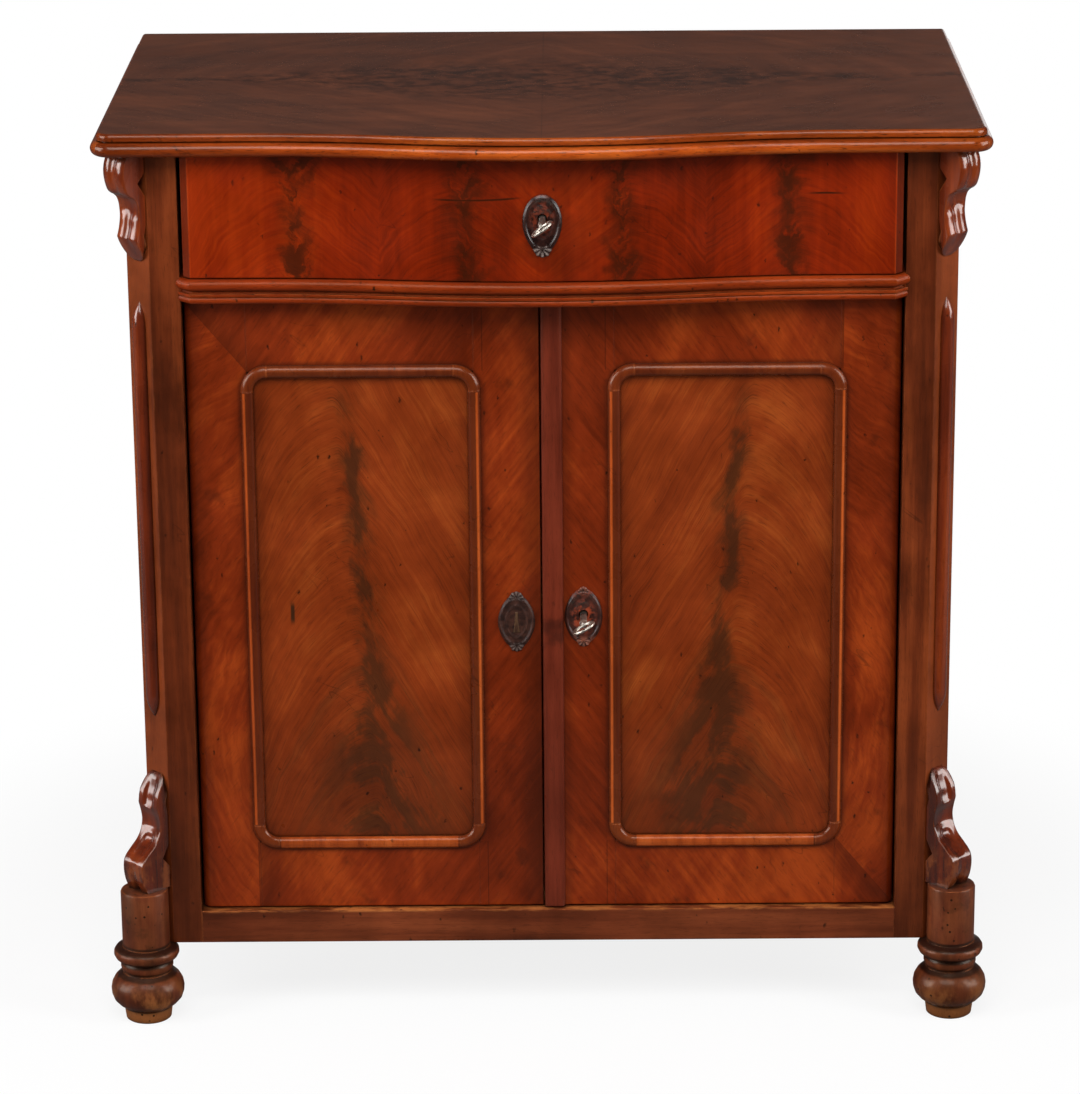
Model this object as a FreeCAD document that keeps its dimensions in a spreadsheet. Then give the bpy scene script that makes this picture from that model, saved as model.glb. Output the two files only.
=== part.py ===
import FreeCAD, Part
import math
import os
import re
import Sketcher

# Pier cabinet: a bowed drawer over two pivot-hung doors, between canted corner posts on turned feet.
# Millimetres, +X to the right, +Y to the back, +Z up, origin on the floor in the middle of the box.

Vector = FreeCAD.Vector
doc = FreeCAD.newDocument("pier_cabinet")

# Driving dimensions
sizes = {
    # case
    "case_width": 752,
    "case_depth": 437,
    "foot_height": 73,
    "plinth_height": 31.5,
    "door_opening_height": 594.5,
    "waist_height": 22,
    "drawer_opening_height": 115,
    "post_width": 49,
    "cant_leg": 22,
    "post_depth": 46,
    "side_thickness": 20,
    "back_thickness": 10,
    "back_board_count": 4,
    "bottom_thickness": 16,
    "plinth_thickness": 22,
    "rail_depth": 60,
    "rail_tenon": 15,
    "tenon_shoulder": 4,
    "tenon_thickness": 10,
    "dust_thickness": 8,
    "shelf_height": 290,
    "shelf_thickness": 16,
    "shelf_setback": 70,
    "cleat_width": 20,
    "cleat_height": 22,
    # top and its edge moulding
    "top_overhang": 26,
    "top_thickness": 21,
    "top_setback": 26.5,
    "top_back_overhang": 3,
    "top_bow": 26,
    "top_corner_radius": 20,
    "edge_depth": 18,
    "torus_height": 13,
    "torus_recess": 8.5,
    "edge_groove": 1.2,
    "ovolo_inset": 5.5,
    "ovolo_radius": 4,
    # waist moulding
    "case_bow": 20,
    "bow_margin": 57,
    "waist_reach": 13,
    "waist_overlap": 4,
    "waist_bead": 11,
    "waist_groove": 2,
    "waist_fillet": 3,
    "waist_groove_depth": 4,
    "waist_fillet_inset": 1.5,
    # corner ornaments
    "bracket_thickness": 28,
    "bracket_ridge": 4.5,
    "upper_bracket_height": 102,
    "upper_bracket_reach": 27,
    "lower_bracket_height": 112,
    "lower_bracket_reach": 34,
    "bracket_neck": 9,
    "bracket_knob": 12.5,
    "notch_depth": 8.5,
    "belly_share": 0.16,
    "belly_end_share": 0.38,
    "neck_share": 0.51,
    "knob_share": 0.75,
    "point_share": 0.96,
    "baton_radius": 7.5,
    "baton_point": 22,
    "baton_drop": 3,
    "baton_gap": 55,
    # front feet
    "column_radius": 22.4,
    "column_flat": 1.4,
    "column_height": 57,
    "ring_height": 17,
    "ring_seat": 24.2,
    "ring_base": 25,
    "ring_radius": 9.6,
    "neck_height": 10,
    "neck_radius": 22.5,
    "neck_step": 2,
    "ball_height": 33,
    "ball_seat": 25,
    "ball_base": 23.8,
    "ball_radius": 18.5,
    "pad_radius": 23,
    "pad_tip_radius": 21.5,
    # rear feet
    "rear_foot_width": 56,
    "rear_foot_taper": 7,
    "rear_foot_inset": 4,
    # drawer
    "drawer_proud": 7,
    "drawer_gap": 3.5,
    "drawer_lift": 1,
    "drawer_bevel": 6.6,
    "drawer_front_back": 14,
    "drawer_side_thickness": 12,
    "drawer_side_drop": 13.7,
    "drawer_back_gap": 63,
    "drawer_back_thickness": 10,
    "drawer_bottom_thickness": 7,
    "drawer_bottom_rise": 10,
    "drawer_groove": 5,
    "running_gap": 0.3,
    "guide_gap": 0.5,
    "tail_length": 12,
    "tail_height": 18,
    "tail_flare": 3,
    "tail_count": 3,
    "runner_height": 12,
    "runner_reach": 8.5,
    "guide_height": 20,
    "stop_width": 40,
    "stop_depth": 24,
    "stop_height": 6,
    # doors
    "door_recess": 8.5,
    "door_thickness": 22,
    "door_gap": 1.5,
    "meeting_offset": 3.5,
    "meeting_gap": 1.5,
    "window_inner": 64,
    "hinge_stile_width": 55.5,
    "lower_rail_width": 65,
    "upper_rail_width": 67.5,
    "door_tenon": 30,
    "door_groove": 8,
    "panel_inset": 1.5,
    "panel_thickness": 9,
    "panel_moulding_width": 11.5,
    "panel_moulding_height": 5.5,
    "panel_moulding_lap": 6,
    "panel_moulding_radius": 24,
    "astragal_width": 19.25,
    "astragal_height": 5,
    "astragal_round": 3.5,
    # pivots
    "pivot_inset": 8,
    "pivot_radius": 3,
    "pivot_clearance": 0.05,
    "pivot_engagement": 5,
    "pivot_plate_thickness": 2,
    "pivot_plate_width": 10,
    "pivot_plate_reach": 38,
    "pivot_plate_tip": 5,
    # escutcheons, locks and keys
    "escutcheon_width": 35,
    "escutcheon_height": 52,
    "escutcheon_thickness": 3,
    "palmette_radius": 7.5,
    "drawer_escutcheon_rise": 51,
    "drawer_key_rise": 8,
    "left_escutcheon_rise": 284.5,
    "left_escutcheon_offset": 27,
    "right_escutcheon_rise": 291.5,
    "right_escutcheon_offset": 35,
    "keyhole_radius": 4.4,
    "keyhole_slot_width": 4.6,
    "keyhole_slot_height": 11,
    "key_radius": 3.2,
    "key_reach": 50,
    "key_bow_width": 23,
    "key_bow_length": 19,
    "key_bow_rim": 4,
    "key_bow_thickness": 3.4,
    "key_collar_radius": 4.6,
    "key_collar_height": 3,
    "key_bit_height": 7,
    "key_bit_thickness": 2.4,
    "drawer_key_tilt": 37,
    "door_key_tilt": 29,
    "drill_pin_radius": 1.4,
    "drill_pin_length": 5,
    "lock_depth": 12,
    "lock_wall": 2,
    "lock_half_width": 30,
    "drawer_lock_drop": 22,
    "door_lock_length": 58,
    "door_lock_half_height": 28,
    "lock_flange": 11,
    "lock_flange_thickness": 2,
    "lock_bolt_width": 16,
    "lock_bolt_thickness": 4,
    "lock_bit_gap": 1.5,
    "lock_bolt_clearance": 0.15,
    "lock_bolt_sink": 0.5,
    "mortise_depth": 11,
    "mortise_clearance": 1,
    "screw_radius": 1.6,
    "screw_length": 9,
    "screw_head_radius": 3.2,
    "screw_head_height": 1.6,
    # slide bolts of the left door
    "slide_bolt_width": 9,
    "slide_bolt_thickness": 4,
    "slide_bolt_length": 110,
    "slide_bolt_offset": 36,
    "slide_bolt_gap": 0.2,
    "slide_bolt_sink": 1,
    "slide_knob_radius": 4,
    "slide_knob_height": 8,
    "guide_wall": 5,
    "guide_length": 8,
    "guide_cover": 1.8,
    "guide_inset": 14,
}

# Places that follow from the driving dimensions
places = {
    "half_case": "case_width / 2",
    "side_inner_x": "half_case - side_thickness",
    "opening_half": "half_case - post_width",
    "bow_half_span": "opening_half - bow_margin",
    "cant_x": "half_case - cant_leg",
    "half_top": "half_case + top_overhang",
    "drawer_reach": "drawer_proud + case_bow + key_reach",
    "front_reach": "max(drawer_reach; top_setback + top_bow)",
    "back_reach": "case_depth + top_back_overhang",
    "stile_y": "(front_reach - back_reach) / 2",
    "top_back_y": "stile_y + back_reach",
    "case_back_y": "stile_y + case_depth",
    "back_inner_y": "case_back_y - back_thickness",
    "top_front_y": "stile_y - top_setback",
    "post_back_y": "stile_y + post_depth",
    "rail_back_y": "stile_y + rail_depth",
    "plinth_back_y": "stile_y + plinth_thickness",
    "cant_mid_x": "half_case - cant_leg / 2",
    "cant_mid_y": "stile_y + cant_leg / 2",
    "case_low_z": "foot_height",
    "door_sill_z": "case_low_z + plinth_height",
    "waist_low_z": "door_sill_z + door_opening_height",
    "waist_high_z": "waist_low_z + waist_height",
    "top_under_z": "waist_high_z + drawer_opening_height",
    "top_z": "top_under_z + top_thickness",
    "column_top_z": "case_low_z + column_height",
    "baton_high_z": "waist_low_z - baton_drop",
    "baton_low_z": "column_top_z + lower_bracket_height + baton_gap",
    "shelf_top_z": "door_sill_z + shelf_height",
    "shelf_low_z": "shelf_top_z - shelf_thickness",
    "runner_low_z": "waist_high_z - runner_height",
    # doors
    "door_front_y": "stile_y + door_recess",
    "door_back_y": "door_front_y + door_thickness",
    "door_low_z": "door_sill_z + door_gap",
    "door_high_z": "waist_low_z - door_gap",
    "door_outer_x": "opening_half - door_gap",
    "left_inner": "meeting_offset + meeting_gap / 2",
    "right_inner": "meeting_gap / 2 - meeting_offset",
    "window_far": "door_outer_x - hinge_stile_width",
    "window_low_z": "door_low_z + lower_rail_width",
    "window_high_z": "door_high_z - upper_rail_width",
    "panel_front_y": "door_front_y + panel_inset",
    "panel_back_y": "panel_front_y + panel_thickness",
    "door_tenon_y": "door_front_y + (door_thickness - tenon_thickness) / 2",
    "pivot_x": "door_outer_x - pivot_inset",
    "pivot_y": "door_front_y + pivot_inset",
    # drawer
    "drawer_half": "opening_half - drawer_gap",
    "drawer_front_y": "stile_y - drawer_proud",
    "drawer_back_face_y": "stile_y + drawer_front_back",
    "drawer_low_z": "waist_high_z + drawer_lift",
    "drawer_high_z": "top_under_z - drawer_lift",
    "drawer_side_low_z": "waist_high_z + running_gap",
    "drawer_side_high_z": "drawer_high_z - drawer_side_drop",
    "drawer_inner_x": "drawer_half - drawer_side_thickness",
    "drawer_end_y": "back_inner_y - drawer_back_gap",
    "bearing_x": "drawer_half - runner_reach",
    "stop_x": "opening_half / 2",
    "drawer_bottom_z": "drawer_side_low_z + drawer_bottom_rise",
    "drawer_centre_y": "drawer_front_y - case_bow",
    # locks and keys
    "drawer_plate_z": "waist_high_z + drawer_escutcheon_rise",
    "drawer_key_z": "drawer_plate_z + drawer_key_rise",
    "left_plate_z": "door_sill_z + left_escutcheon_rise",
    "right_key_z": "door_sill_z + right_escutcheon_rise",
    "drawer_lock_y": "drawer_back_face_y - lock_depth",
    "door_lock_y": "door_back_y - lock_depth",
    "bolt_inset": "(lock_depth - lock_bolt_thickness) / 2",
    "door_lock_far": "right_inner + door_lock_length",
    "bit_reach": "key_radius + key_bit_height",
    "slide_bolt_y": "door_back_y + slide_bolt_gap",
}

dims = doc.addObject("Spreadsheet::Sheet", "dims")
layout = doc.addObject("Spreadsheet::Sheet", "layout")


def bound(text, own_sheet=None):
    """Put the sheet's name before every alias in an expression."""
    def named(match):
        word = match.group(0)
        if word in sizes:
            return "dims." + word
        if word in places and own_sheet != "layout":
            return "layout." + word
        return word
    return re.sub(r"[a-z][a-z_]*", named, str(text))


for row, (alias, value) in enumerate(sizes.items(), start=1):
    dims.set("A%d" % row, alias)
    dims.set("B%d" % row, str(value))
    dims.setAlias("B%d" % row, alias)
for row, (alias, formula) in enumerate(places.items(), start=1):
    layout.set("A%d" % row, alias)
    layout.set("B%d" % row, "=" + bound(formula, "layout"))
    layout.setAlias("B%d" % row, alias)
doc.recompute()


def num(text):
    """Value of an expression over the two sheets."""
    return float(dims.evalExpression(bound(text)))


nodes = {}


def keep(piece):
    """Mark a piece as a sub-part of the cabinet that is written to its own file."""
    nodes[piece.Label] = piece
    return piece


# Helpers that make one piece each

def block(label, x, y, z):
    """Board between two places on each axis."""
    box = doc.addObject("Part::Box", label)
    for size, axis, (low, high) in (("Length", "x", x), ("Width", "y", y), ("Height", "z", z)):
        box.setExpression(size, bound("(%s) - (%s)" % (high, low)))
        box.setExpression("Placement.Base." + axis, bound(low))
    return box


turns = {
    "up": FreeCAD.Rotation(),
    "down": FreeCAD.Rotation(Vector(1, 0, 0), 180),
    "back": FreeCAD.Rotation(Vector(1, 0, 0), -90),
}


def rod(label, radius, length, start, heading):
    """Round bar from a start point along a heading."""
    bar = doc.addObject("Part::Cylinder", label)
    bar.setExpression("Radius", bound(radius))
    bar.setExpression("Height", bound(length))
    bar.Placement.Rotation = turns[heading]
    for axis, place in zip("xyz", start):
        bar.setExpression("Placement.Base." + axis, bound(place))
    return bar


def cut(label, base, *tools):
    """Base piece less its tools."""
    result = base
    for count, tool in enumerate(tools, start=1):
        step = doc.addObject("Part::Cut", label if count == len(tools) else "%s_step_%d" % (label, count))
        step.Base = result
        step.Tool = tool
        result = step
    return result


def fuse(label, *members):
    """One solid made of several."""
    joined = doc.addObject("Part::MultiFuse", label)
    joined.Shapes = list(members)
    joined.Refine = True
    return joined


def group(label, *members):
    """Separate solids that share one node."""
    bundle = doc.addObject("Part::Compound", label)
    bundle.Links = list(members)
    return bundle


def twin(label, source):
    """Mirror image of a piece on the other side of the cabinet."""
    other = doc.addObject("Part::Mirroring", label)
    other.Source = source
    other.Normal = Vector(1, 0, 0)
    return other


def shaped(label, shape):
    """Piece whose curved shape is worked out from the sheet values."""
    piece = doc.addObject("Part::Feature", label)
    piece.Shape = shape
    return piece


def across(side, near, far):
    """Span on X between two distances from the middle, on the left or the right."""
    if side == "left":
        return "-(%s)" % far, "-(%s)" % near
    return near, far


def outward(side, distance):
    """X of a distance from the middle, on the left or the right."""
    return "-(%s)" % distance if side == "left" else distance


def outline_sketch(body, plane, corners):
    """Closed outline in a body's plane. A corner is (x, y) or (x, y, radius, bend) for an arc to the next one."""
    sketch = body.newObject("Sketcher::SketchObject", body.Label + "_outline")
    support = [feature for feature in body.Origin.OriginFeatures if feature.Role == plane]
    sketch.AttachmentSupport = [(support[0], "")]
    sketch.MapMode = "FlatFace"
    points = [Vector(num(corner[0]), num(corner[1]), 0) for corner in corners]
    ends = []
    for index, corner in enumerate(corners):
        start = points[index]
        finish = points[(index + 1) % len(points)]
        if len(corner) == 2:
            sketch.addGeometry(Part.LineSegment(start, finish))
            ends.append((1, 2))
            continue
        radius, bend = num(corner[2]), corner[3]
        chord = finish - start
        normal = Vector(-chord.y, chord.x, 0).normalize()
        rise = math.sqrt(radius ** 2 - (chord.Length / 2) ** 2)
        centre = (start + finish) * 0.5 + normal * (rise * bend)
        first, last = (start, finish) if bend > 0 else (finish, start)
        angles = [math.atan2(point.y - centre.y, point.x - centre.x) for point in (first, last)]
        circle = Part.Circle(centre, Vector(0, 0, 1), radius)
        sketch.addGeometry(Part.ArcOfCircle(circle, angles[0], angles[1]))
        ends.append((1, 2) if bend > 0 else (2, 1))
    for index, corner in enumerate(corners):
        following = (index + 1) % len(corners)
        joint = Sketcher.Constraint("Coincident", index, ends[index][1], following, ends[following][0])
        sketch.addConstraint(joint)
        for kind, text, value in (("DistanceX", corner[0], points[index].x),
                                  ("DistanceY", corner[1], points[index].y)):
            number = sketch.addConstraint(Sketcher.Constraint(kind, index, ends[index][0], value))
            sketch.setExpression("Constraints[%d]" % number, bound(text))
        if len(corner) > 2:
            number = sketch.addConstraint(Sketcher.Constraint("Radius", index, num(corner[2])))
            sketch.setExpression("Constraints[%d]" % number, bound(corner[2]))
    return sketch


def padded(label, corners, low, high):
    """Upright prism on a plan outline."""
    body = doc.addObject("PartDesign::Body", label)
    sketch = outline_sketch(body, "XY_Plane", corners)
    pad = body.newObject("PartDesign::Pad", label + "_pad")
    pad.Profile = sketch
    pad.setExpression("Length", bound("(%s) - (%s)" % (high, low)))
    body.setExpression("Placement.Base.z", bound(low))
    return body


def turned(label, corners, place):
    """Turned piece on an upright axis. Corners are (radius, height)."""
    body = doc.addObject("PartDesign::Body", label)
    sketch = outline_sketch(body, "XZ_Plane", corners)
    turn = body.newObject("PartDesign::Revolution", label + "_turn")
    turn.Profile = sketch
    turn.ReferenceAxis = (sketch, ["V_Axis"])
    turn.Angle = 360
    for axis, text in zip("xyz", place):
        body.setExpression("Placement.Base." + axis, bound(text))
    return body


# Curves

def arc_edge(start, middle, finish):
    return Part.Arc(start, middle, finish).toShape()


def line_edge(start, finish):
    return Part.LineSegment(start, finish).toShape()


def bow_edges(end_y, rise, inset, level):
    """Serpentine front from -X to +X: hollow, swelling, hollow, moved back by an inset."""
    span = num("bow_half_span")
    radius = (span ** 2 + rise ** 2) / (4 * rise)
    sweep = math.asin(span / (2 * radius))
    hollow_y = end_y - radius
    swell_y = end_y - rise + radius

    def hollow(side, angle):
        reach = radius + inset
        return Vector(side * (span - reach * math.sin(angle)), hollow_y + reach * math.cos(angle), level)

    def swell(angle):
        reach = radius - inset
        return Vector(reach * math.sin(angle), swell_y - reach * math.cos(angle), level)

    return [
        arc_edge(hollow(-1, 0), hollow(-1, sweep / 2), hollow(-1, sweep)),
        arc_edge(swell(-sweep), swell(0), swell(sweep)),
        arc_edge(hollow(1, sweep), hollow(1, sweep / 2), hollow(1, 0)),
    ]


def edge_ends(edges):
    return edges[0].firstVertex(True).Point, edges[-1].lastVertex(True).Point


def upright_prism(edges, height):
    """Solid on a closed plan outline."""
    return Part.Face(Part.Wire(edges)).extrude(Vector(0, 0, height))


# Top

def top_outline(inset):
    """Open plan line round the left side, the serpentine front and the right side of the top."""
    level = num("top_under_z")
    half = num("half_top") - inset
    front = num("top_front_y") + inset
    back = num("top_back_y")
    radius = num("top_corner_radius") - inset
    shift = radius * (1 - math.sqrt(0.5))
    bow = bow_edges(num("top_front_y"), num("top_bow"), inset, level)
    left_end, right_end = edge_ends(bow)

    def corner(side):
        outer = Vector(side * half, front + radius, level)
        middle = Vector(side * (half - shift), front + shift, level)
        inner = Vector(side * (half - radius), front, level)
        return outer, middle, inner

    left = corner(-1)
    right = corner(1)
    return [
        line_edge(Vector(-half, back, level), left[0]),
        arc_edge(*left),
        line_edge(left[2], left_end),
        *bow,
        line_edge(right_end, right[2]),
        arc_edge(right[2], right[1], right[0]),
        line_edge(right[0], Vector(half, back, level)),
    ]


def edge_profile():
    """Section of the top's edge at its left back corner: torus, groove and ovolo."""
    left = -num("half_top")
    back = num("top_back_y")
    low = num("top_under_z")
    half_torus = num("torus_height") / 2
    groove_z = low + num("torus_height")
    ovolo_z = groove_z + num("edge_groove")
    high = num("top_z")
    ovolo = num("ovolo_radius")
    inset = num("ovolo_inset")
    swing = ovolo * (1 - math.sqrt(0.5))

    def at(depth, level):
        return Vector(left + depth, back, level)

    edges = [
        arc_edge(at(half_torus, low), at(0, low + half_torus), at(half_torus, groove_z)),
        line_edge(at(half_torus, groove_z), at(num("torus_recess"), groove_z)),
        line_edge(at(num("torus_recess"), groove_z), at(num("torus_recess"), ovolo_z)),
        line_edge(at(num("torus_recess"), ovolo_z), at(inset, ovolo_z)),
        line_edge(at(inset, ovolo_z), at(inset, high - ovolo)),
        arc_edge(at(inset, high - ovolo), at(inset + swing, high - swing), at(inset + ovolo, high)),
        line_edge(at(inset + ovolo, high), at(num("edge_depth"), high)),
        line_edge(at(num("edge_depth"), high), at(num("edge_depth"), low)),
        line_edge(at(num("edge_depth"), low), at(half_torus, low)),
    ]
    return Part.Wire(edges)


def mitre_wedge(side):
    """Upright block that holds one side moulding, bounded by the mitre through the corner."""
    half = num("half_top")
    front = num("top_front_y")
    back = num("top_back_y")
    low = num("top_under_z")
    spare = num("edge_depth")
    corners = [
        Vector(side * (half + spare), front - spare, low - spare),
        Vector(side * (half - 2 * spare), front + 2 * spare, low - spare),
        Vector(side * (half - 2 * spare), back + spare, low - spare),
        Vector(side * (half + spare), back + spare, low - spare),
    ]
    face = Part.Face(Part.makePolygon(corners + corners[:1]))
    return face.extrude(Vector(0, 0, num("top_thickness") + 2 * spare))


edge_sweep = Part.Wire(top_outline(0)).makePipeShell([edge_profile()], True, False)
left_wedge = mitre_wedge(-1)
right_wedge = mitre_wedge(1)
side_mouldings = [edge_sweep.common(wedge).Solids[0] for wedge in (left_wedge, right_wedge)]
keep(shaped("top_side_mouldings", Part.makeCompound(side_mouldings)))
keep(shaped("top_front_moulding", edge_sweep.cut(left_wedge).cut(right_wedge)))

board_edges = top_outline(num("edge_depth"))
board_left, board_right = edge_ends(board_edges)
top_blank = shaped("top_blank", upright_prism(board_edges + [line_edge(board_right, board_left)],
                                              num("top_thickness")))
drawer_mortise = block("drawer_mortise",
                       ("-lock_bolt_width / 2 - mortise_clearance", "lock_bolt_width / 2 + mortise_clearance"),
                       ("drawer_lock_y + bolt_inset - mortise_clearance",
                        "drawer_lock_y + bolt_inset + lock_bolt_thickness + mortise_clearance"),
                       ("top_under_z", "top_under_z + mortise_depth"))
keep(cut("top_board", top_blank, drawer_mortise))

# Case

side_panel = keep(block("side_panel_right", ("side_inner_x", "half_case"), ("post_back_y", "case_back_y"),
                        ("case_low_z", "top_under_z")))
keep(twin("side_panel_left", side_panel))
bottom_blank = block("bottom_blank", ("-side_inner_x", "side_inner_x"), ("plinth_back_y", "back_inner_y"),
                     ("door_sill_z - bottom_thickness", "door_sill_z"))
keep(block("dust_board", ("-bearing_x", "bearing_x"), ("rail_back_y", "back_inner_y"),
           ("waist_high_z - dust_thickness", "waist_high_z")))
keep(block("shelf", ("-side_inner_x", "side_inner_x"), ("stile_y + shelf_setback", "back_inner_y"),
           ("shelf_low_z", "shelf_top_z")))
cleat = block("shelf_cleat", ("side_inner_x - cleat_width", "side_inner_x"),
              ("stile_y + shelf_setback", "back_inner_y"), ("shelf_low_z - cleat_height", "shelf_low_z"))
keep(group("shelf_cleats", cleat, twin("shelf_cleat_twin", cleat)))

back_boards = []
for index in range(int(num("back_board_count"))):
    board_width = "2 * side_inner_x / back_board_count"
    board = block("back_board_%d" % (index + 1),
                  ("-side_inner_x + %d * %s" % (index, board_width),
                   "-side_inner_x + %d * %s" % (index + 1, board_width)),
                  ("back_inner_y", "case_back_y"), ("case_low_z", "top_under_z"))
    back_boards.append(board)
keep(group("back_boards", *back_boards))


def tenoned_rail(label, depth, height):
    """Rail between the posts with a tenon into each."""
    low, high = height
    body = block(label + "_body", ("-opening_half", "opening_half"), depth, height)
    tenon = block(label + "_tenon", ("-opening_half - rail_tenon", "opening_half + rail_tenon"),
                  (depth[0] + " + tenon_shoulder", depth[0] + " + tenon_shoulder + tenon_thickness"),
                  (low + " + tenon_shoulder", high + " - tenon_shoulder"))
    return fuse(label + "_blank", body, tenon)


drawer_rail_blank = tenoned_rail("drawer_rail", ("stile_y", "rail_back_y"), ("waist_low_z", "waist_high_z"))
plinth_blank = tenoned_rail("plinth_rail", ("stile_y", "plinth_back_y"), ("case_low_z", "door_sill_z"))

# Corner post in plan: stile face, cant, side, back
post_blank = padded("corner_post_blank", [
    ("opening_half", "stile_y"),
    ("cant_x", "stile_y"),
    ("half_case", "stile_y + cant_leg"),
    ("half_case", "post_back_y"),
    ("opening_half", "post_back_y"),
], "case_low_z", "top_under_z")
right_post = keep(cut("corner_post_right", post_blank, drawer_rail_blank, plinth_blank))
left_post = keep(twin("corner_post_left", right_post))

# Drawer runners: a bearing strip with a guide beside the drawer
bearing = block("runner_bearing", ("bearing_x", "side_inner_x"), ("rail_back_y", "back_inner_y"),
                ("runner_low_z", "waist_high_z"))
guide = block("runner_guide", ("drawer_half + guide_gap", "side_inner_x"), ("rail_back_y", "back_inner_y"),
              ("runner_low_z", "waist_high_z + guide_height"))
right_runner = fuse("drawer_runner", bearing, guide)
keep(group("drawer_runners", right_runner, twin("drawer_runner_twin", right_runner)))

drawer_stop = block("drawer_stop", ("stop_x", "stop_x + stop_width"),
                    ("drawer_back_face_y + running_gap", "drawer_back_face_y + running_gap + stop_depth"),
                    ("waist_high_z", "waist_high_z + stop_height"))
keep(group("drawer_stops", drawer_stop, twin("drawer_stop_twin", drawer_stop)))
door_stop = block("door_stop", ("stop_x - stop_width", "stop_x"),
                  ("door_back_y + running_gap", "door_back_y + running_gap + stop_depth"),
                  ("waist_low_z - 2 * stop_height", "waist_low_z"))
keep(group("door_stops", door_stop, twin("door_stop_twin", door_stop)))


# Waist moulding

def waist_outline():
    """Front line of the waist moulding with a 45 degree return at each end."""
    level = num("waist_low_z")
    front = num("stile_y - waist_reach")
    corner = num("opening_half + waist_overlap - waist_reach")
    run = num("waist_reach + waist_overlap")
    bow = bow_edges(front, num("case_bow"), 0, level)
    left_end, right_end = edge_ends(bow)
    return [
        line_edge(Vector(-corner - run, front + run, level), Vector(-corner, front, level)),
        line_edge(Vector(-corner, front, level), left_end),
        *bow,
        line_edge(right_end, Vector(corner, front, level)),
        line_edge(Vector(corner, front, level), Vector(corner + run, front + run, level)),
    ]


def waist_profile():
    """Section of the waist moulding at its left end: upper bead, groove, fillet, lower bead."""
    line = waist_outline()[0]
    start = line.firstVertex(True).Point
    inward = Vector(1, 1, 0).normalize()
    low = num("waist_low_z")
    high = num("waist_high_z")
    bead_z = high - num("waist_bead")
    groove_z = bead_z - num("waist_groove")
    fillet_z = groove_z - num("waist_fillet")
    hollow = num("waist_groove_depth")
    inset = num("waist_fillet_inset")
    round_in = (groove_z - num("waist_fillet") - low) / 2
    bead_in = num("waist_bead") / 2
    depth = num("waist_reach")

    def at(reach, level):
        return start + inward * reach + Vector(0, 0, level - start.z)

    edges = [
        arc_edge(at(round_in, low), at(inset, low + round_in), at(round_in, fillet_z)),
        line_edge(at(round_in, fillet_z), at(inset, fillet_z)),
        line_edge(at(inset, fillet_z), at(inset, groove_z)),
        line_edge(at(inset, groove_z), at(hollow, groove_z)),
        line_edge(at(hollow, groove_z), at(bead_in, bead_z)),
        arc_edge(at(bead_in, bead_z), at(0, bead_z + bead_in), at(bead_in, high)),
        line_edge(at(bead_in, high), at(depth, high)),
        line_edge(at(depth, high), at(depth, low)),
        line_edge(at(depth, low), at(round_in, low)),
    ]
    return Part.Wire(edges)


def waist_moulding():
    right_corner = 1
    sweep = Part.Wire(waist_outline()).makePipeShell([waist_profile()], True, False, right_corner)
    level = num("waist_low_z")
    stile = num("stile_y")
    inset = num("waist_reach") / 2
    bow = bow_edges(num("stile_y - waist_reach"), num("case_bow"), inset, level)
    left_end, right_end = edge_ends(bow)
    core_edges = bow + [
        line_edge(right_end, Vector(right_end.x, stile, level)),
        line_edge(Vector(right_end.x, stile, level), Vector(left_end.x, stile, level)),
        line_edge(Vector(left_end.x, stile, level), left_end),
    ]
    core = upright_prism(core_edges, num("waist_height"))
    spare = num("case_width")
    behind = Part.makeBox(2 * spare, spare, spare, Vector(-spare, stile, level - spare / 2))
    return sweep.fuse(core).cut(behind).removeSplitter()


keep(shaped("waist_moulding", waist_moulding()))

# Front feet: pad, ball, neck, ring and column on one axis beside the cant
pad_height = "case_low_z - ring_height - neck_height - ball_height"
ball_top = "case_low_z - ring_height - neck_height"
ring_low = "case_low_z - ring_height"
foot_distance = "(column_radius - column_flat) * sqrt(0.5)"
foot_blank = turned("front_foot_blank", [
    ("0", "0"),
    ("pad_tip_radius", "0"),
    ("pad_radius", pad_height),
    ("ball_base", pad_height, "ball_radius", 1),
    ("ball_seat", ball_top),
    ("neck_radius", ball_top + " + neck_step"),
    ("ring_base", ring_low, "ring_radius", 1),
    ("ring_seat", "case_low_z"),
    ("column_radius", "case_low_z"),
    ("column_radius", "column_top_z"),
    ("0", "column_top_z"),
], ("cant_mid_x + " + foot_distance, "cant_mid_y - " + foot_distance, "0"))
right_foot = keep(cut("front_foot_right", foot_blank, right_post))
keep(twin("front_foot_left", right_foot))


def rear_foot():
    """Square tapered block under the back corner."""
    outer = num("half_case - rear_foot_inset")
    back = num("case_back_y - rear_foot_inset")
    width = num("rear_foot_width")
    taper = num("rear_foot_taper")
    high = num("case_low_z")

    def square(shrink, level):
        near_x, far_x = outer - width + shrink, outer - shrink
        near_y, far_y = back - width + shrink, back - shrink
        corners = [Vector(near_x, near_y, level), Vector(far_x, near_y, level),
                   Vector(far_x, far_y, level), Vector(near_x, far_y, level)]
        return Part.makePolygon(corners + corners[:1])

    return Part.makeLoft([square(taper, 0), square(0, high)], True, True)


right_rear_foot = shaped("rear_foot", rear_foot())
keep(group("rear_feet", right_rear_foot, twin("rear_foot_twin", right_rear_foot)))

# Half-round batons with pointed ends on the cant

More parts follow.
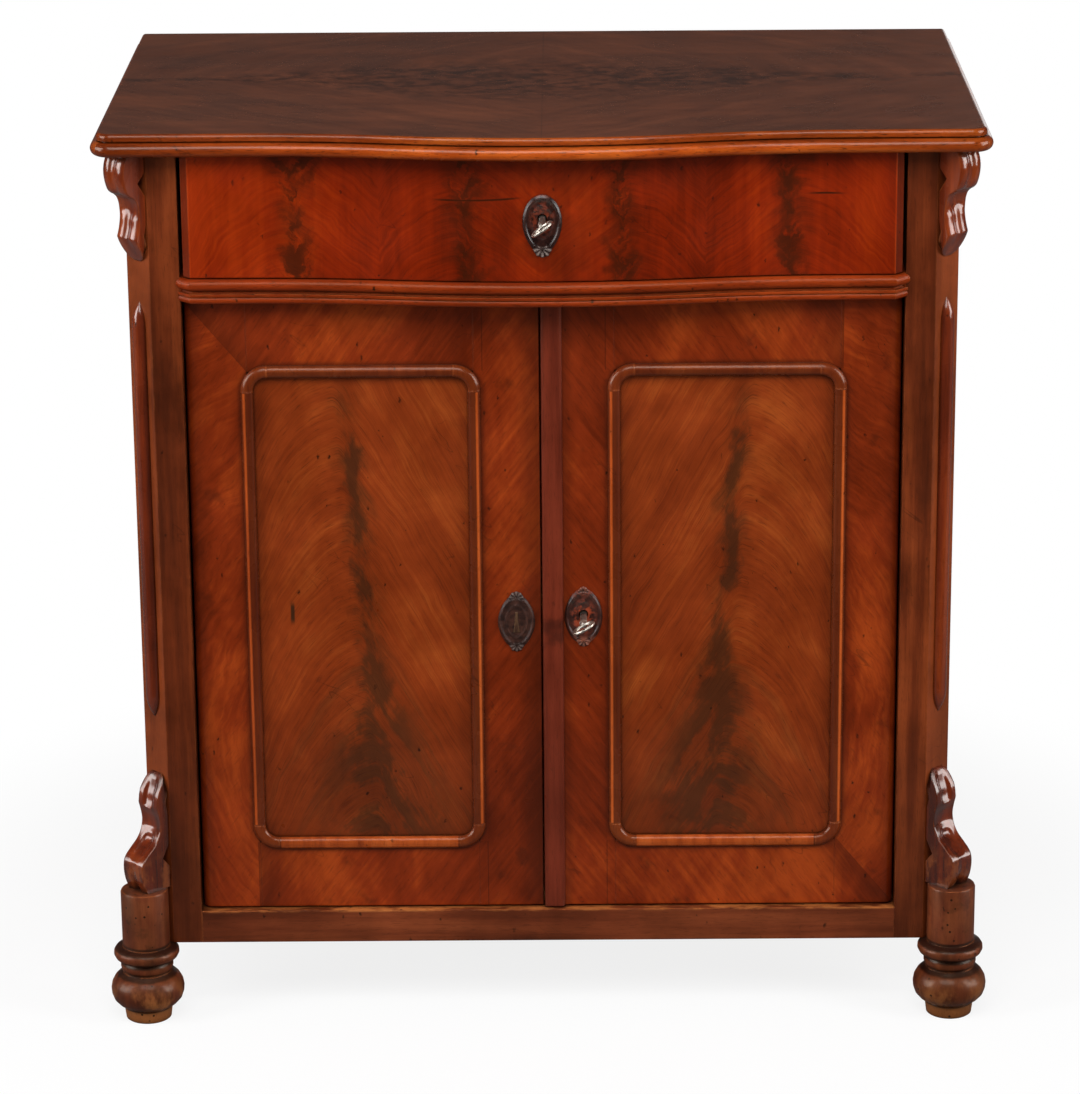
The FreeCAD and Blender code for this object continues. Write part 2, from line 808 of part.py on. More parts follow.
def baton():
    """Half-round strip, swept half a turn about an upright line on the cant."""
    radius = num("baton_radius")
    length = num("baton_high_z - baton_low_z")
    point = num("baton_point")

    def tip(level, direction):
        curve = Part.BezierCurve()
        curve.setPoles([Vector(0, 0, level), Vector(radius * 0.6, 0, level + direction * point * 0.3),
                        Vector(radius, 0, level + direction * point * 0.6),
                        Vector(radius, 0, level + direction * point)])
        return curve.toShape()

    straight = line_edge(Vector(radius, 0, point), Vector(radius, 0, length - point))
    axis = line_edge(Vector(0, 0, length), Vector(0, 0, 0))
    outline = Part.Wire(Part.sortEdges([tip(0, 1), straight, tip(length, -1), axis])[0])
    half = Part.Face(outline).revolve(Vector(0, 0, 0), Vector(0, 0, 1), 180)
    half.rotate(Vector(0, 0, 0), Vector(0, 0, 1), -135)
    half.translate(Vector(num("cant_mid_x"), num("cant_mid_y"), num("baton_low_z")))
    return half


right_baton = shaped("corner_baton", baton())
keep(group("corner_batons", right_baton, twin("corner_baton_twin", right_baton)))


# Scroll brackets on the cant

def bracket_wire(place, height, reach, relief):
    """Side outline of a bracket: belly, neck, knob and pointed end, with two notches against the post."""
    neck = num("bracket_neck")
    knob = num("bracket_knob")
    notch = num("notch_depth")
    belly_end = (reach + neck) / 2
    levels = {name: height * num(name + "_share") for name in ("belly", "belly_end", "neck", "knob", "point")}
    hollow = (levels["belly_end"] * 2 + levels["neck"]) / 3
    foot = place(reach - notch / 2 + relief, 0)
    bend = place(belly_end + relief, levels["belly_end"])
    throat = place(neck + relief, levels["neck"])
    swell = place(knob + relief, levels["knob"])
    shoulder = place(neck / 3, levels["point"])
    tip = place(0, height)
    front = [
        arc_edge(foot, place(reach + relief, levels["belly"]), bend),
        arc_edge(bend, place((belly_end + neck * 2) / 3 + relief, hollow), throat),
        line_edge(throat, swell),
        line_edge(swell, shoulder),
        line_edge(shoulder, tip),
    ]
    back_points = [
        tip,
        place(0, (levels["knob"] + levels["point"]) / 2),
        place(notch / 3, levels["knob"]),
        place(0, (levels["knob"] + levels["neck"]) / 2),
        place(0, levels["belly_end"]),
        place(notch, (levels["belly"] + levels["belly_end"]) / 2),
        place(0, levels["belly"]),
        place(0, 0),
        foot,
    ]
    back = [line_edge(first, last) for first, last in zip(back_points, back_points[1:])]
    return Part.Wire(front + back)


def bracket(height, reach, level, direction):
    """Shaped board on the cant whose front rises in hollows to a ridge along its middle."""
    out = Vector(1, -1, 0).normalize()
    along = Vector(1, 1, 0).normalize()
    middle = Vector(num("cant_mid_x"), num("cant_mid_y"), level)
    half = num("bracket_thickness") / 2
    ridge = num("bracket_ridge")
    hollow = ridge / 5
    wires = []
    for offset, relief in ((-half, 0), (-half / 2, hollow), (0, ridge), (half / 2, hollow), (half, 0)):
        def place(reach_out, rise, offset=offset):
            return middle + along * offset + out * reach_out + Vector(0, 0, rise * direction)
        wires.append(bracket_wire(place, height, reach, relief))
    return Part.makeLoft(wires, True, True)


upper_bracket = keep(shaped("upper_bracket_right", bracket(
    num("upper_bracket_height"), num("upper_bracket_reach"), num("top_under_z"), -1)))
keep(twin("upper_bracket_left", upper_bracket))
lower_bracket = keep(shaped("lower_bracket_right", bracket(
    num("lower_bracket_height"), num("lower_bracket_reach"), num("column_top_z"), 1)))
keep(twin("lower_bracket_left", lower_bracket))

# Door pivots: plates let into the rails, each with a pin into the door

def pivot(label, plate_z, pin_z, heading):
    plate = block(label + "_plate", ("pivot_x - pivot_plate_reach", "pivot_x + pivot_plate_tip"),
                  ("pivot_y - pivot_plate_width / 2", "pivot_y + pivot_plate_width / 2"), plate_z)
    pin = rod(label + "_pin", "pivot_radius", "door_gap + pivot_plate_thickness + pivot_engagement",
              ("pivot_x", "pivot_y", pin_z), heading)
    return fuse(label, plate, pin)


upper_pivot = pivot("upper_pivot", ("waist_low_z", "waist_low_z + pivot_plate_thickness"), "waist_low_z", "down")
lower_pivot = pivot("lower_pivot", ("door_sill_z - pivot_plate_thickness", "door_sill_z"), "door_sill_z", "up")
door_pivots = keep(group("door_pivots", upper_pivot, lower_pivot,
                         twin("upper_pivot_twin", upper_pivot), twin("lower_pivot_twin", lower_pivot)))

# Rails and bottom board with their seats for pivots and slide bolts
bolt_span = across("left", "slide_bolt_offset - slide_bolt_width / 2 - mortise_clearance",
                   "slide_bolt_offset + slide_bolt_width / 2 + mortise_clearance")
bolt_seat_depth = ("slide_bolt_y - mortise_clearance", "slide_bolt_y + slide_bolt_thickness + mortise_clearance")
upper_bolt_seat = block("upper_bolt_seat", bolt_span, bolt_seat_depth,
                        ("waist_low_z", "waist_low_z + mortise_depth"))
lower_bolt_seat = block("lower_bolt_seat", bolt_span, bolt_seat_depth,
                        ("door_sill_z - mortise_depth", "door_sill_z"))
keep(cut("drawer_rail", drawer_rail_blank, door_pivots, upper_bolt_seat))
keep(cut("plinth_rail", plinth_blank, door_pivots))
keep(cut("bottom_board", bottom_blank, lower_bolt_seat, right_post, left_post))


# Escutcheons and keyholes

def escutcheon(label, x, face_y, plate_z, key_z=None):
    """Oval plate with a palmette at each end, standing on a face, pierced where there is a key."""
    place_x, place_y, place_z = num(x), num(face_y), num(plate_z)
    thick = num("escutcheon_thickness")
    half_width = num("escutcheon_width") / 2
    half_height = num("escutcheon_height") / 2
    palmette = num("palmette_radius")
    toward = Vector(0, -thick, 0)
    oval = Part.Ellipse(Vector(0, half_height, 0), Vector(half_width, 0, 0), Vector(0, 0, 0))
    plate = Part.Face(Part.Wire(oval.toShape()))
    plate.rotate(Vector(0, 0, 0), Vector(1, 0, 0), 90)
    plate.translate(Vector(place_x, place_y, place_z))
    solid = plate.extrude(toward)
    for end in (-1, 1):
        centre = Vector(place_x, place_y, place_z + end * half_height)
        solid = solid.fuse(Part.makeCylinder(palmette, thick, centre, Vector(0, -1, 0)))
    piece = shaped(label + "_plate" if key_z else label, solid.removeSplitter())
    if not key_z:
        return piece
    return cut(label, piece, keyhole(label + "_hole", x, key_z, (face_y + " - 2 * escutcheon_thickness", face_y)))


def keyhole(label, x, key_z, depth):
    """Round hole with a slot below it."""
    hole = rod(label + "_round", "keyhole_radius", "(%s) - (%s)" % (depth[1], depth[0]),
               (x, depth[0], key_z), "back")
    slot = block(label + "_slot", ("%s - keyhole_slot_width / 2" % x, "%s + keyhole_slot_width / 2" % x), depth,
                 ("%s - keyhole_slot_height" % key_z, key_z))
    return fuse(label, hole, slot)


def key(label, x, key_z, face_y, tip_y, tilt):
    """Pipe key along Y with its bow and bit in one plane, turned by a tilt from level."""
    x, key_z, face_y, tip_y = num(x), num(key_z), num(face_y), num(tip_y)
    radius = num("key_radius")
    bow_half = num("key_bow_width") / 2
    bow_length = num("key_bow_length")
    rim = num("key_bow_rim")
    thick = num("key_bow_thickness")
    bow_y = face_y - num("key_reach") + bow_length / 2
    shank_y = bow_y + bow_length / 2 - rim / 2
    shank = Part.makeCylinder(radius, tip_y - shank_y, Vector(0, shank_y, 0), Vector(0, 1, 0))
    collar_y = bow_y + bow_length / 2 + rim / 2
    collar = Part.makeCylinder(num("key_collar_radius"), num("key_collar_height"), Vector(0, collar_y, 0),
                               Vector(0, 1, 0))

    def oval(across_half, along_half):
        if across_half > along_half:
            curve = Part.Ellipse(Vector(across_half, 0, 0), Vector(0, along_half, 0), Vector(0, 0, 0))
        else:
            curve = Part.Ellipse(Vector(0, along_half, 0), Vector(across_half, 0, 0), Vector(0, 0, 0))
        face = Part.Face(Part.Wire(curve.toShape()))
        face.translate(Vector(0, bow_y, -thick / 2))
        return face.extrude(Vector(0, 0, thick))

    ring = oval(bow_half, bow_length / 2).cut(oval(bow_half - rim, bow_length / 2 - rim))
    bit_length = num("lock_depth - 2 * lock_wall - lock_bit_gap")
    bit = Part.makeBox(num("bit_reach"), bit_length, num("key_bit_thickness"),
                       Vector(0, tip_y - bit_length, -num("key_bit_thickness") / 2))
    solid = shank.fuse([collar, ring, bit])
    bore = Part.makeCylinder(num("drill_pin_radius + pivot_clearance"), num("drill_pin_length + lock_bit_gap"),
                             Vector(0, tip_y, 0), Vector(0, -1, 0))
    solid = solid.cut(bore).removeSplitter()
    solid.rotate(Vector(0, 0, 0), Vector(0, 1, 0), 180 - tilt)
    solid.translate(Vector(x, 0, key_z))
    return shaped(label, solid)


def lock_case(label, x, z, lock_y, face_y, flange_x, flange_z, key_x, key_z, bolt_slot):
    """Hollow lock box let into the wood, with a flange on the back face and a drill pin for the key."""
    shell = block(label + "_shell", x, (lock_y, face_y), z)
    room = block(label + "_room", (x[0] + " + lock_wall", x[1] + " - lock_wall"),
                 (lock_y + " + lock_wall", face_y + " - lock_wall"),
                 (z[0] + " + lock_wall", z[1] + " - lock_wall"))
    flange = block(label + "_flange", flange_x, (face_y, face_y + " + lock_flange_thickness"), flange_z)
    hole = keyhole(label + "_hole", key_x, key_z, (lock_y, lock_y + " + lock_wall"))
    pin = rod(label + "_pin", "drill_pin_radius", "drill_pin_length + lock_wall",
              (key_x, face_y + " - lock_wall - drill_pin_length", key_z), "back")
    hollow = cut(label + "_hollow", fuse(label + "_box", shell, flange), room, hole, bolt_slot)
    return fuse(label + "_blank", hollow, pin)


def screws(label, spots, face_y):
    """Round-headed screws through a flange into the wood in front of it."""
    members = []
    for count, (x, z) in enumerate(spots, start=1):
        shank = rod("%s_shank_%d" % (label, count), "screw_radius", "screw_length + lock_flange_thickness",
                    (x, face_y + " - screw_length", z), "back")
        head = rod("%s_head_%d" % (label, count), "screw_head_radius", "screw_head_height",
                   (x, face_y + " + lock_flange_thickness", z), "back")
        members.append(fuse("%s_%d" % (label, count), shank, head))
    return group(label, *members)


# Drawer

def drawer_front_shape():
    """Front board: flat back, bowed face, bevelled ends."""
    level = num("drawer_low_z")
    half = num("drawer_half")
    back = num("drawer_back_face_y")
    face = num("drawer_front_y")
    bevel = num("drawer_bevel")
    bow = bow_edges(face, num("case_bow"), 0, level)
    left_end, right_end = edge_ends(bow)
    corners = [Vector(half - bevel, face, level), Vector(half, face + bevel, level), Vector(half, back, level)]
    right = [right_end] + corners
    left = [Vector(-point.x, point.y, point.z) for point in reversed(corners)] + [left_end]
    rest = right + left
    edges = bow + [line_edge(first, last) for first, last in zip(rest, rest[1:])]
    return upright_prism(edges, num("drawer_high_z - drawer_low_z"))


def dovetails(side):
    """Tails at the front end of a drawer side, flaring into the drawer front."""
    root = num("drawer_back_face_y")
    tip = root - num("tail_length")
    count = int(num("tail_count"))
    low = num("drawer_side_low_z") + num("drawer_bottom_rise") + num("drawer_bottom_thickness")
    pitch = (num("drawer_side_high_z") - low) / count
    half = num("tail_height") / 2
    flare = num("tail_flare")
    inner = num("drawer_inner_x")
    tails = []
    for index in range(count):
        middle = low + pitch * (index + 0.5)
        corners = [Vector(side * inner, root, middle - half), Vector(side * inner, tip, middle - half - flare),
                   Vector(side * inner, tip, middle + half + flare), Vector(side * inner, root, middle + half)]
        face = Part.Face(Part.makePolygon(corners + corners[:1]))
        tails.append(face.extrude(Vector(side * num("drawer_side_thickness"), 0, 0)))
    return Part.makeCompound(tails)


drawer_bottom = keep(block("drawer_bottom",
                           ("-drawer_inner_x - drawer_groove", "drawer_inner_x + drawer_groove"),
                           ("drawer_back_face_y - drawer_groove", "drawer_end_y"),
                           ("drawer_bottom_z", "drawer_bottom_z + drawer_bottom_thickness")))
drawer_sides = {}
for side, sign in (("left", -1), ("right", 1)):
    plank = block("drawer_plank_" + side, across(side, "drawer_inner_x", "drawer_half"),
                  ("drawer_back_face_y", "drawer_end_y"), ("drawer_side_low_z", "drawer_side_high_z"))
    tails = shaped("drawer_tails_" + side, dovetails(sign))
    joined = fuse("drawer_side_blank_" + side, plank, tails)
    drawer_sides[side] = keep(cut("drawer_side_" + side, joined, drawer_bottom))
keep(block("drawer_back", ("-drawer_inner_x", "drawer_inner_x"),
           ("drawer_end_y - drawer_back_thickness", "drawer_end_y"),
           ("drawer_bottom_z + drawer_bottom_thickness", "drawer_side_high_z")))

drawer_bolt_y = ("drawer_lock_y + bolt_inset", "drawer_lock_y + bolt_inset + lock_bolt_thickness")
keep(block("drawer_lock_bolt", ("-lock_bolt_width / 2", "lock_bolt_width / 2"), drawer_bolt_y,
           ("drawer_key_z + bit_reach + lock_bit_gap", "drawer_high_z - lock_bolt_sink")))
drawer_bolt_slot = block("drawer_bolt_slot",
                         ("-lock_bolt_width / 2 - lock_bolt_clearance", "lock_bolt_width / 2 + lock_bolt_clearance"),
                         (drawer_bolt_y[0] + " - lock_bolt_clearance", drawer_bolt_y[1] + " + lock_bolt_clearance"),
                         ("drawer_high_z - lock_wall", "drawer_high_z"))
drawer_lock_x = ("-lock_half_width", "lock_half_width")
drawer_lock_z = ("drawer_key_z - drawer_lock_drop", "drawer_high_z")
drawer_flange_x = ("-lock_half_width - lock_flange", "lock_half_width + lock_flange")
drawer_case = lock_case("drawer_lock", drawer_lock_x, drawer_lock_z, "drawer_lock_y", "drawer_back_face_y",
                        drawer_flange_x, drawer_lock_z, "0", "drawer_key_z", drawer_bolt_slot)
drawer_screw_spots = []
for x in ("-lock_half_width - lock_flange / 2", "lock_half_width + lock_flange / 2"):
    for z in (drawer_lock_z[0] + " + lock_flange", drawer_lock_z[1] + " - lock_flange"):
        drawer_screw_spots.append((x, z))
drawer_screws = keep(screws("drawer_lock_screws", drawer_screw_spots, "drawer_back_face_y"))
keep(cut("drawer_lock_case", drawer_case, drawer_screws))
drawer_lock_seat = block("drawer_lock_seat", drawer_lock_x, ("drawer_lock_y", "drawer_back_face_y"), drawer_lock_z)
drawer_keyhole = keyhole("drawer_front_hole", "0", "drawer_key_z", ("drawer_centre_y", "drawer_lock_y"))
drawer_front_blank = shaped("drawer_front_blank", drawer_front_shape())
keep(cut("drawer_front", drawer_front_blank, drawer_sides["left"], drawer_sides["right"], drawer_bottom,
         drawer_lock_seat, drawer_keyhole, drawer_screws))
keep(escutcheon("drawer_escutcheon", "0", "drawer_centre_y", "drawer_plate_z", "drawer_key_z"))
keep(key("drawer_key", "0", "drawer_key_z", "drawer_centre_y",
         "drawer_back_face_y - lock_wall - running_gap", num("drawer_key_tilt")))


# Doors

def panel_moulding(side):
    """Moulding round a door panel: four straight strips and four quarter-round corner pieces."""
    wide = num("panel_moulding_width")
    high = num("panel_moulding_height")
    lap = num("panel_moulding_lap")
    corner = num("panel_moulding_radius")
    face_y = num("door_front_y")
    sign = -1 if side == "left" else 1
    near = sign * num("window_inner") - sign * lap
    far = sign * num("window_far") + sign * lap
    low_x, high_x = min(near, far), max(near, far)
    low_z = num("window_low_z") - lap
    high_z = num("window_high_z") + lap

    def section(origin, inward):
        def at(depth, rise):
            return origin + inward * (depth * wide) + Vector(0, -rise * high, 0)
        edges = [
            line_edge(at(0, 0), at(0, 0.3)),
            arc_edge(at(0, 0.3), at(0.2, 0.82), at(0.6, 1)),
            arc_edge(at(0.6, 1), at(0.86, 0.82), at(1, 0.35)),
            line_edge(at(1, 0.35), at(1, 0)),
            line_edge(at(1, 0), at(0, 0)),
        ]
        return Part.Face(Part.Wire(edges))

    solids = []
    run_x = high_x - low_x - 2 * corner
    run_z = high_z - low_z - 2 * corner
    for x, inward in ((low_x, 1), (high_x, -1)):
        start = Vector(x, face_y, low_z + corner)
        solids.append(section(start, Vector(inward, 0, 0)).extrude(Vector(0, 0, run_z)))
        for z, upward in ((low_z, 1), (high_z, -1)):
            centre = Vector(x + inward * corner, face_y, z + upward * corner)
            face = section(Vector(x, face_y, centre.z), Vector(inward, 0, 0))
            solids.append(face.revolve(centre, Vector(0, -inward * upward, 0), 90))
    for z, inward in ((low_z, 1), (high_z, -1)):
        start = Vector(low_x + corner, face_y, z)
        solids.append(section(start, Vector(0, 0, inward)).extrude(Vector(run_x, 0, 0)))
    return Part.makeCompound(solids)


def door_pivot_plates(side):
    """Plates let into the top and bottom of the hinge stile, bored for the pins."""
    plates = []
    span = across(side, "pivot_x - pivot_plate_reach", "pivot_x + pivot_plate_tip")
    depth = ("pivot_y - pivot_plate_width / 2", "pivot_y + pivot_plate_width / 2")
    ends = {
        "upper": ("door_high_z - pivot_plate_thickness", "door_high_z"),
        "lower": ("door_low_z", "door_low_z + pivot_plate_thickness"),
    }
    for end, height in ends.items():
        name = "%s_door_%s_plate" % (side, end)
        blank = block(name + "_blank", span, depth, height)
        bore = rod(name + "_bore", "pivot_radius + pivot_clearance", "pivot_plate_thickness",
                   (outward(side, "pivot_x"), "pivot_y", height[0]), "up")
        plates.append(cut(name, blank, bore))
    return group(side + "_door_pivot_plates", *plates)


def door_frame(side, meeting_tools):
    """Two stiles, two rails and the panel of a door. The meeting stile also gives way to its tools."""
    inner = side + "_inner"
    depth = ("door_front_y", "door_back_y")
    height = ("door_low_z", "door_high_z")
    panel = keep(block(side + "_door_panel", across(side, "window_inner - door_groove", "window_far + door_groove"),
                       ("panel_front_y", "panel_back_y"),
                       ("window_low_z - door_groove", "window_high_z + door_groove")))
    rails = []
    for name, low, high in (("upper", "window_high_z", "door_high_z"), ("lower", "door_low_z", "window_low_z")):
        label = "%s_door_%s_rail" % (side, name)
        body = block(label + "_body", across(side, "window_inner", "window_far"), depth, (low, high))
        tenon = block(label + "_tenon", across(side, "window_inner - door_tenon", "window_far + door_tenon"),
                      ("door_tenon_y", "door_tenon_y + tenon_thickness"),
                      (low + " + 3 * tenon_shoulder", high + " - 3 * tenon_shoulder"))
        rails.append(cut(label, fuse(label + "_blank", body, tenon), panel))
    keep(group(side + "_door_rails", *rails))

    plates = keep(door_pivot_plates(side))
    hinge_blank = block(side + "_hinge_blank", across(side, "window_far", "door_outer_x"), depth, height)
    doc.recompute()
    rounded = doc.addObject("Part::Fillet", side + "_hinge_rounded")
    rounded.Base = hinge_blank
    outer_edge = 1 if side == "left" else 5
    rounded.Edges = [(outer_edge, num("pivot_inset"), num("pivot_inset"))]
    bore = rod(side + "_pivot_bore_lower", "pivot_radius + 2 * pivot_clearance",
               "pivot_plate_thickness + pivot_engagement + running_gap",
               (outward(side, "pivot_x"), "pivot_y", "door_low_z"), "up")
    upper_bore = rod(side + "_pivot_bore_upper", "pivot_radius + 2 * pivot_clearance",
                     "pivot_plate_thickness + pivot_engagement + running_gap",
                     (outward(side, "pivot_x"), "pivot_y", "door_high_z"), "down")
    keep(cut(side + "_door_hinge_stile", rounded, rails[0], rails[1], panel, plates, bore, upper_bore))
    meeting_blank = block(side + "_meeting_blank", across(side, inner, "window_inner"), depth, height)
    keep(cut(side + "_door_meeting_stile", meeting_blank, rails[0], rails[1], panel, *meeting_tools))
    keep(shaped(side + "_door_panel_moulding", panel_moulding(side)))


# Left door: blind escutcheon, two slide bolts, mortise for the right door's lock bolt
right_bolt_z = ("right_key_z - lock_bolt_width / 2", "right_key_z + lock_bolt_width / 2")
right_bolt_y = ("door_lock_y + bolt_inset", "door_lock_y + bolt_inset + lock_bolt_thickness")
meeting_mortise = block("meeting_mortise", across("left", "left_inner", "left_inner + mortise_depth"),
                        (right_bolt_y[0] + " - mortise_clearance", right_bolt_y[1] + " + mortise_clearance"),
                        (right_bolt_z[0] + " - mortise_clearance", right_bolt_z[1] + " + mortise_clearance"))
door_frame("left", [meeting_mortise])
keep(escutcheon("left_door_escutcheon", "-left_escutcheon_offset", "door_front_y", "left_plate_z"))


def slide_bolt(label, low, high, knob_z):
    """Flat bolt on the back of the left door with a knob to push it."""
    bar = block(label + "_bar", across("left", "slide_bolt_offset - slide_bolt_width / 2",
                                       "slide_bolt_offset + slide_bolt_width / 2"),
                ("slide_bolt_y", "slide_bolt_y + slide_bolt_thickness"), (low, high))
    knob = rod(label + "_knob", "slide_knob_radius", "slide_knob_height + slide_bolt_thickness / 2",
               (outward("left", "slide_bolt_offset"), "slide_bolt_y + slide_bolt_thickness / 2", knob_z), "back")
    return fuse(label, bar, knob)


def bolt_guide(label, low):
    """Staple that holds a slide bolt against the door."""
    wide = "(slide_bolt_width / 2 + slide_bolt_gap)"
    outer = block(label + "_outer", across("left", "slide_bolt_offset - %s - guide_wall" % wide,
                                           "slide_bolt_offset + %s + guide_wall" % wide),
                  ("door_back_y", "slide_bolt_y + slide_bolt_thickness + slide_bolt_gap + guide_cover"),
                  (low, low + " + guide_length"))
    slot = block(label + "_slot", across("left", "slide_bolt_offset - %s" % wide, "slide_bolt_offset + %s" % wide),
                 ("door_back_y", "slide_bolt_y + slide_bolt_thickness + slide_bolt_gap"),
                 (low, low + " + guide_length"))
    return cut(label, outer, slot)


keep(slide_bolt("left_door_upper_bolt", "door_high_z - slide_bolt_sink - slide_bolt_length",
                "door_high_z - slide_bolt_sink", "door_high_z - slide_bolt_length / 2"))
keep(slide_bolt("left_door_lower_bolt", "door_low_z + slide_bolt_sink",
                "door_low_z + slide_bolt_sink + slide_bolt_length", "door_low_z + slide_bolt_length / 2"))
guide_levels = {
    "upper_bolt_top_guide": "door_high_z - guide_inset - guide_length",
    "upper_bolt_tail_guide": "door_high_z - slide_bolt_length + guide_inset",
    "lower_bolt_top_guide": "door_low_z + slide_bolt_length - guide_inset - guide_length",
    "lower_bolt_tail_guide": "door_low_z + guide_inset",
}
keep(group("left_door_bolt_guides", *[bolt_guide(name, low) for name, low in guide_levels.items()]))

# Right door: lock, key, astragal
right_lock_x = ("right_inner", "door_lock_far")
right_lock_z = ("right_key_z - door_lock_half_height", "right_key_z + door_lock_half_height")
right_flange_z = (right_lock_z[0] + " - lock_flange", right_lock_z[1] + " + lock_flange")
right_bolt_x = ("right_inner + lock_bolt_sink", "right_escutcheon_offset - bit_reach - lock_bit_gap")
keep(block("right_door_lock_bolt", right_bolt_x, right_bolt_y, right_bolt_z))
right_bolt_slot = block("right_bolt_slot", ("right_inner", "right_inner + lock_wall"),
                        (right_bolt_y[0] + " - lock_bolt_clearance", right_bolt_y[1] + " + lock_bolt_clearance"),
                        (right_bolt_z[0] + " - lock_bolt_clearance", right_bolt_z[1] + " + lock_bolt_clearance"))
right_case = lock_case("right_door_lock", right_lock_x, right_lock_z, "door_lock_y", "door_back_y",
                       right_lock_x, right_flange_z, "right_escutcheon_offset", "right_key_z", right_bolt_slot)
right_screw_spots = []
for x in ("right_inner + lock_flange", "door_lock_far - lock_flange"):
    for z in (right_flange_z[0] + " + lock_flange / 2", right_flange_z[1] + " - lock_flange / 2"):
        right_screw_spots.append((x, z))
right_screws = keep(screws("right_door_lock_screws", right_screw_spots, "door_back_y"))
keep(cut("right_door_lock_case", right_case, right_screws))
right_lock_seat = block("right_lock_seat", right_lock_x, ("door_lock_y", "door_back_y"), right_lock_z)
right_keyhole = keyhole("right_door_hole", "right_escutcheon_offset", "right_key_z",
                        ("door_front_y", "door_lock_y"))
door_frame("right", [right_lock_seat, right_keyhole, right_screws])
keep(escutcheon("right_door_escutcheon", "right_escutcheon_offset", "door_front_y", "right_key_z", "right_key_z"))
keep(key("right_door_key", "right_escutcheon_offset", "right_key_z", "door_front_y",
         "door_back_y - lock_wall - running_gap", num("door_key_tilt")))


def astragal():
    """Flat strip with rounded edges along the right door's meeting edge."""
    near = num("right_inner")
    far = near + num("astragal_width")
    face = num("door_front_y")
    front = face - num("astragal_height")
    level = num("door_low_z")
    radius = num("astragal_round")
    swing = radius * (1 - math.sqrt(0.5))

    def at(x, y):
        return Vector(x, y, level)

    edges = [
        line_edge(at(near, face), at(near, front + radius)),
        arc_edge(at(near, front + radius), at(near + swing, front + swing), at(near + radius, front)),
        line_edge(at(near + radius, front), at(far - radius, front)),
        arc_edge(at(far - radius, front), at(far - swing, front + swing), at(far, front + radius)),
        line_edge(at(far, front + radius), at(far, face)),
        line_edge(at(far, face), at(near, face)),
    ]
    return upright_prism(edges, num("door_high_z - door_low_z"))


keep(shaped("right_door_astragal", astragal()))

doc.recompute()

# Every object has to be sound before anything is written
for item in doc.Objects:
    if "Invalid" in item.State or "Error" in item.State:
        raise RuntimeError("%s failed: %s" % (item.Label, item.State))
for label, piece in nodes.items():
    if piece.Shape.isNull() or not piece.Shape.isValid() or not piece.Shape.Solids:
        raise RuntimeError("%s has no sound solid" % label)

os.makedirs("parts", exist_ok=True)
for label, piece in nodes.items():
    piece.Shape.exportStep(os.path.join("parts", label + ".step"))
print("%d sub-parts written" % len(nodes))
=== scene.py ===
import bmesh
import bpy
import math
from mathutils import Matrix, Vector


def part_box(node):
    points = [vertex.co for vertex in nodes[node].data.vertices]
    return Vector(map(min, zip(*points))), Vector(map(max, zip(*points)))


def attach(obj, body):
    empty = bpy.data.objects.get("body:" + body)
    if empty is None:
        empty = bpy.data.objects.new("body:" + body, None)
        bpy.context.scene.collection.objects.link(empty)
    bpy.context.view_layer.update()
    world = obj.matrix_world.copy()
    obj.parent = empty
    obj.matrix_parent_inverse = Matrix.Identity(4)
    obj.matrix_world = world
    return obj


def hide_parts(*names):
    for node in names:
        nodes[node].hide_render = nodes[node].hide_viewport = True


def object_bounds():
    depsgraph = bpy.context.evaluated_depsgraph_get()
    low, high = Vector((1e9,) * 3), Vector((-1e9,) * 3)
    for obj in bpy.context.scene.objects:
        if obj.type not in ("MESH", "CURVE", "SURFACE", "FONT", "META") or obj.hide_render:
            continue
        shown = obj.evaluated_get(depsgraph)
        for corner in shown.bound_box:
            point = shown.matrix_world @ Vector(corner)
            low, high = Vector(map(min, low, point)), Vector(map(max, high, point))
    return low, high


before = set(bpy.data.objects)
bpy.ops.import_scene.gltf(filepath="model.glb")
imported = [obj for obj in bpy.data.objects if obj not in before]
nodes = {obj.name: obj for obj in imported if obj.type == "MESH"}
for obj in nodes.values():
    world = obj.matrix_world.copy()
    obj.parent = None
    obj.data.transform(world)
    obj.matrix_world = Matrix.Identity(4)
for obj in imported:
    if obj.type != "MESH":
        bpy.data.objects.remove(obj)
cadLow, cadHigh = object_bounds()
circle = 2 * math.pi
quarter = math.radians(90)
grainUp, grainAcross, grainDeep = (0, 0, 0), (0, quarter, 0), (quarter, 0, 0)
sides = ((-1, "left"), (1, "right"))
print("frame loaded:", len(nodes), "nodes")


# Shader helpers: a value is a number or a socket, and a socket knows its tree

def tint(red, green, blue):
    def straight(level):
        share = level / 255
        return share / 12.92 if share <= 0.04045 else ((share + 0.055) / 1.055) ** 2.4
    return (straight(red), straight(green), straight(blue), 1.0)


def treeOf(*values):
    return next(value.id_data for value in values if isinstance(value, bpy.types.NodeSocket))


def feed(socket, value):
    if isinstance(value, bpy.types.NodeSocket):
        socket.id_data.links.new(value, socket)
    else:
        socket.default_value = value


def addNode(tree, kind, settings=None, feeds=None):
    node = tree.nodes.new(kind)
    for name, value in (settings or {}).items():
        setattr(node, name, value)
    for key, value in (feeds or {}).items():
        feed(node.inputs[key], value)
    return node


def calc(operation, first, second=None, clamp=False):
    feeds = {0: first} if second is None else {0: first, 1: second}
    return addNode(treeOf(first, second), "ShaderNodeMath", {"operation": operation, "use_clamp": clamp},
                   feeds).outputs[0]


def chain(operation, values):
    total = values[0]
    for value in values[1:]:
        total = calc(operation, total, value)
    return total


def plus(*values):
    return chain("ADD", values)


def times(*values):
    return chain("MULTIPLY", values)


def most(*values):
    return chain("MAXIMUM", values)


def minus(first, second):
    return calc("SUBTRACT", first, second)


def sizeOf(value):
    return calc("ABSOLUTE", value)


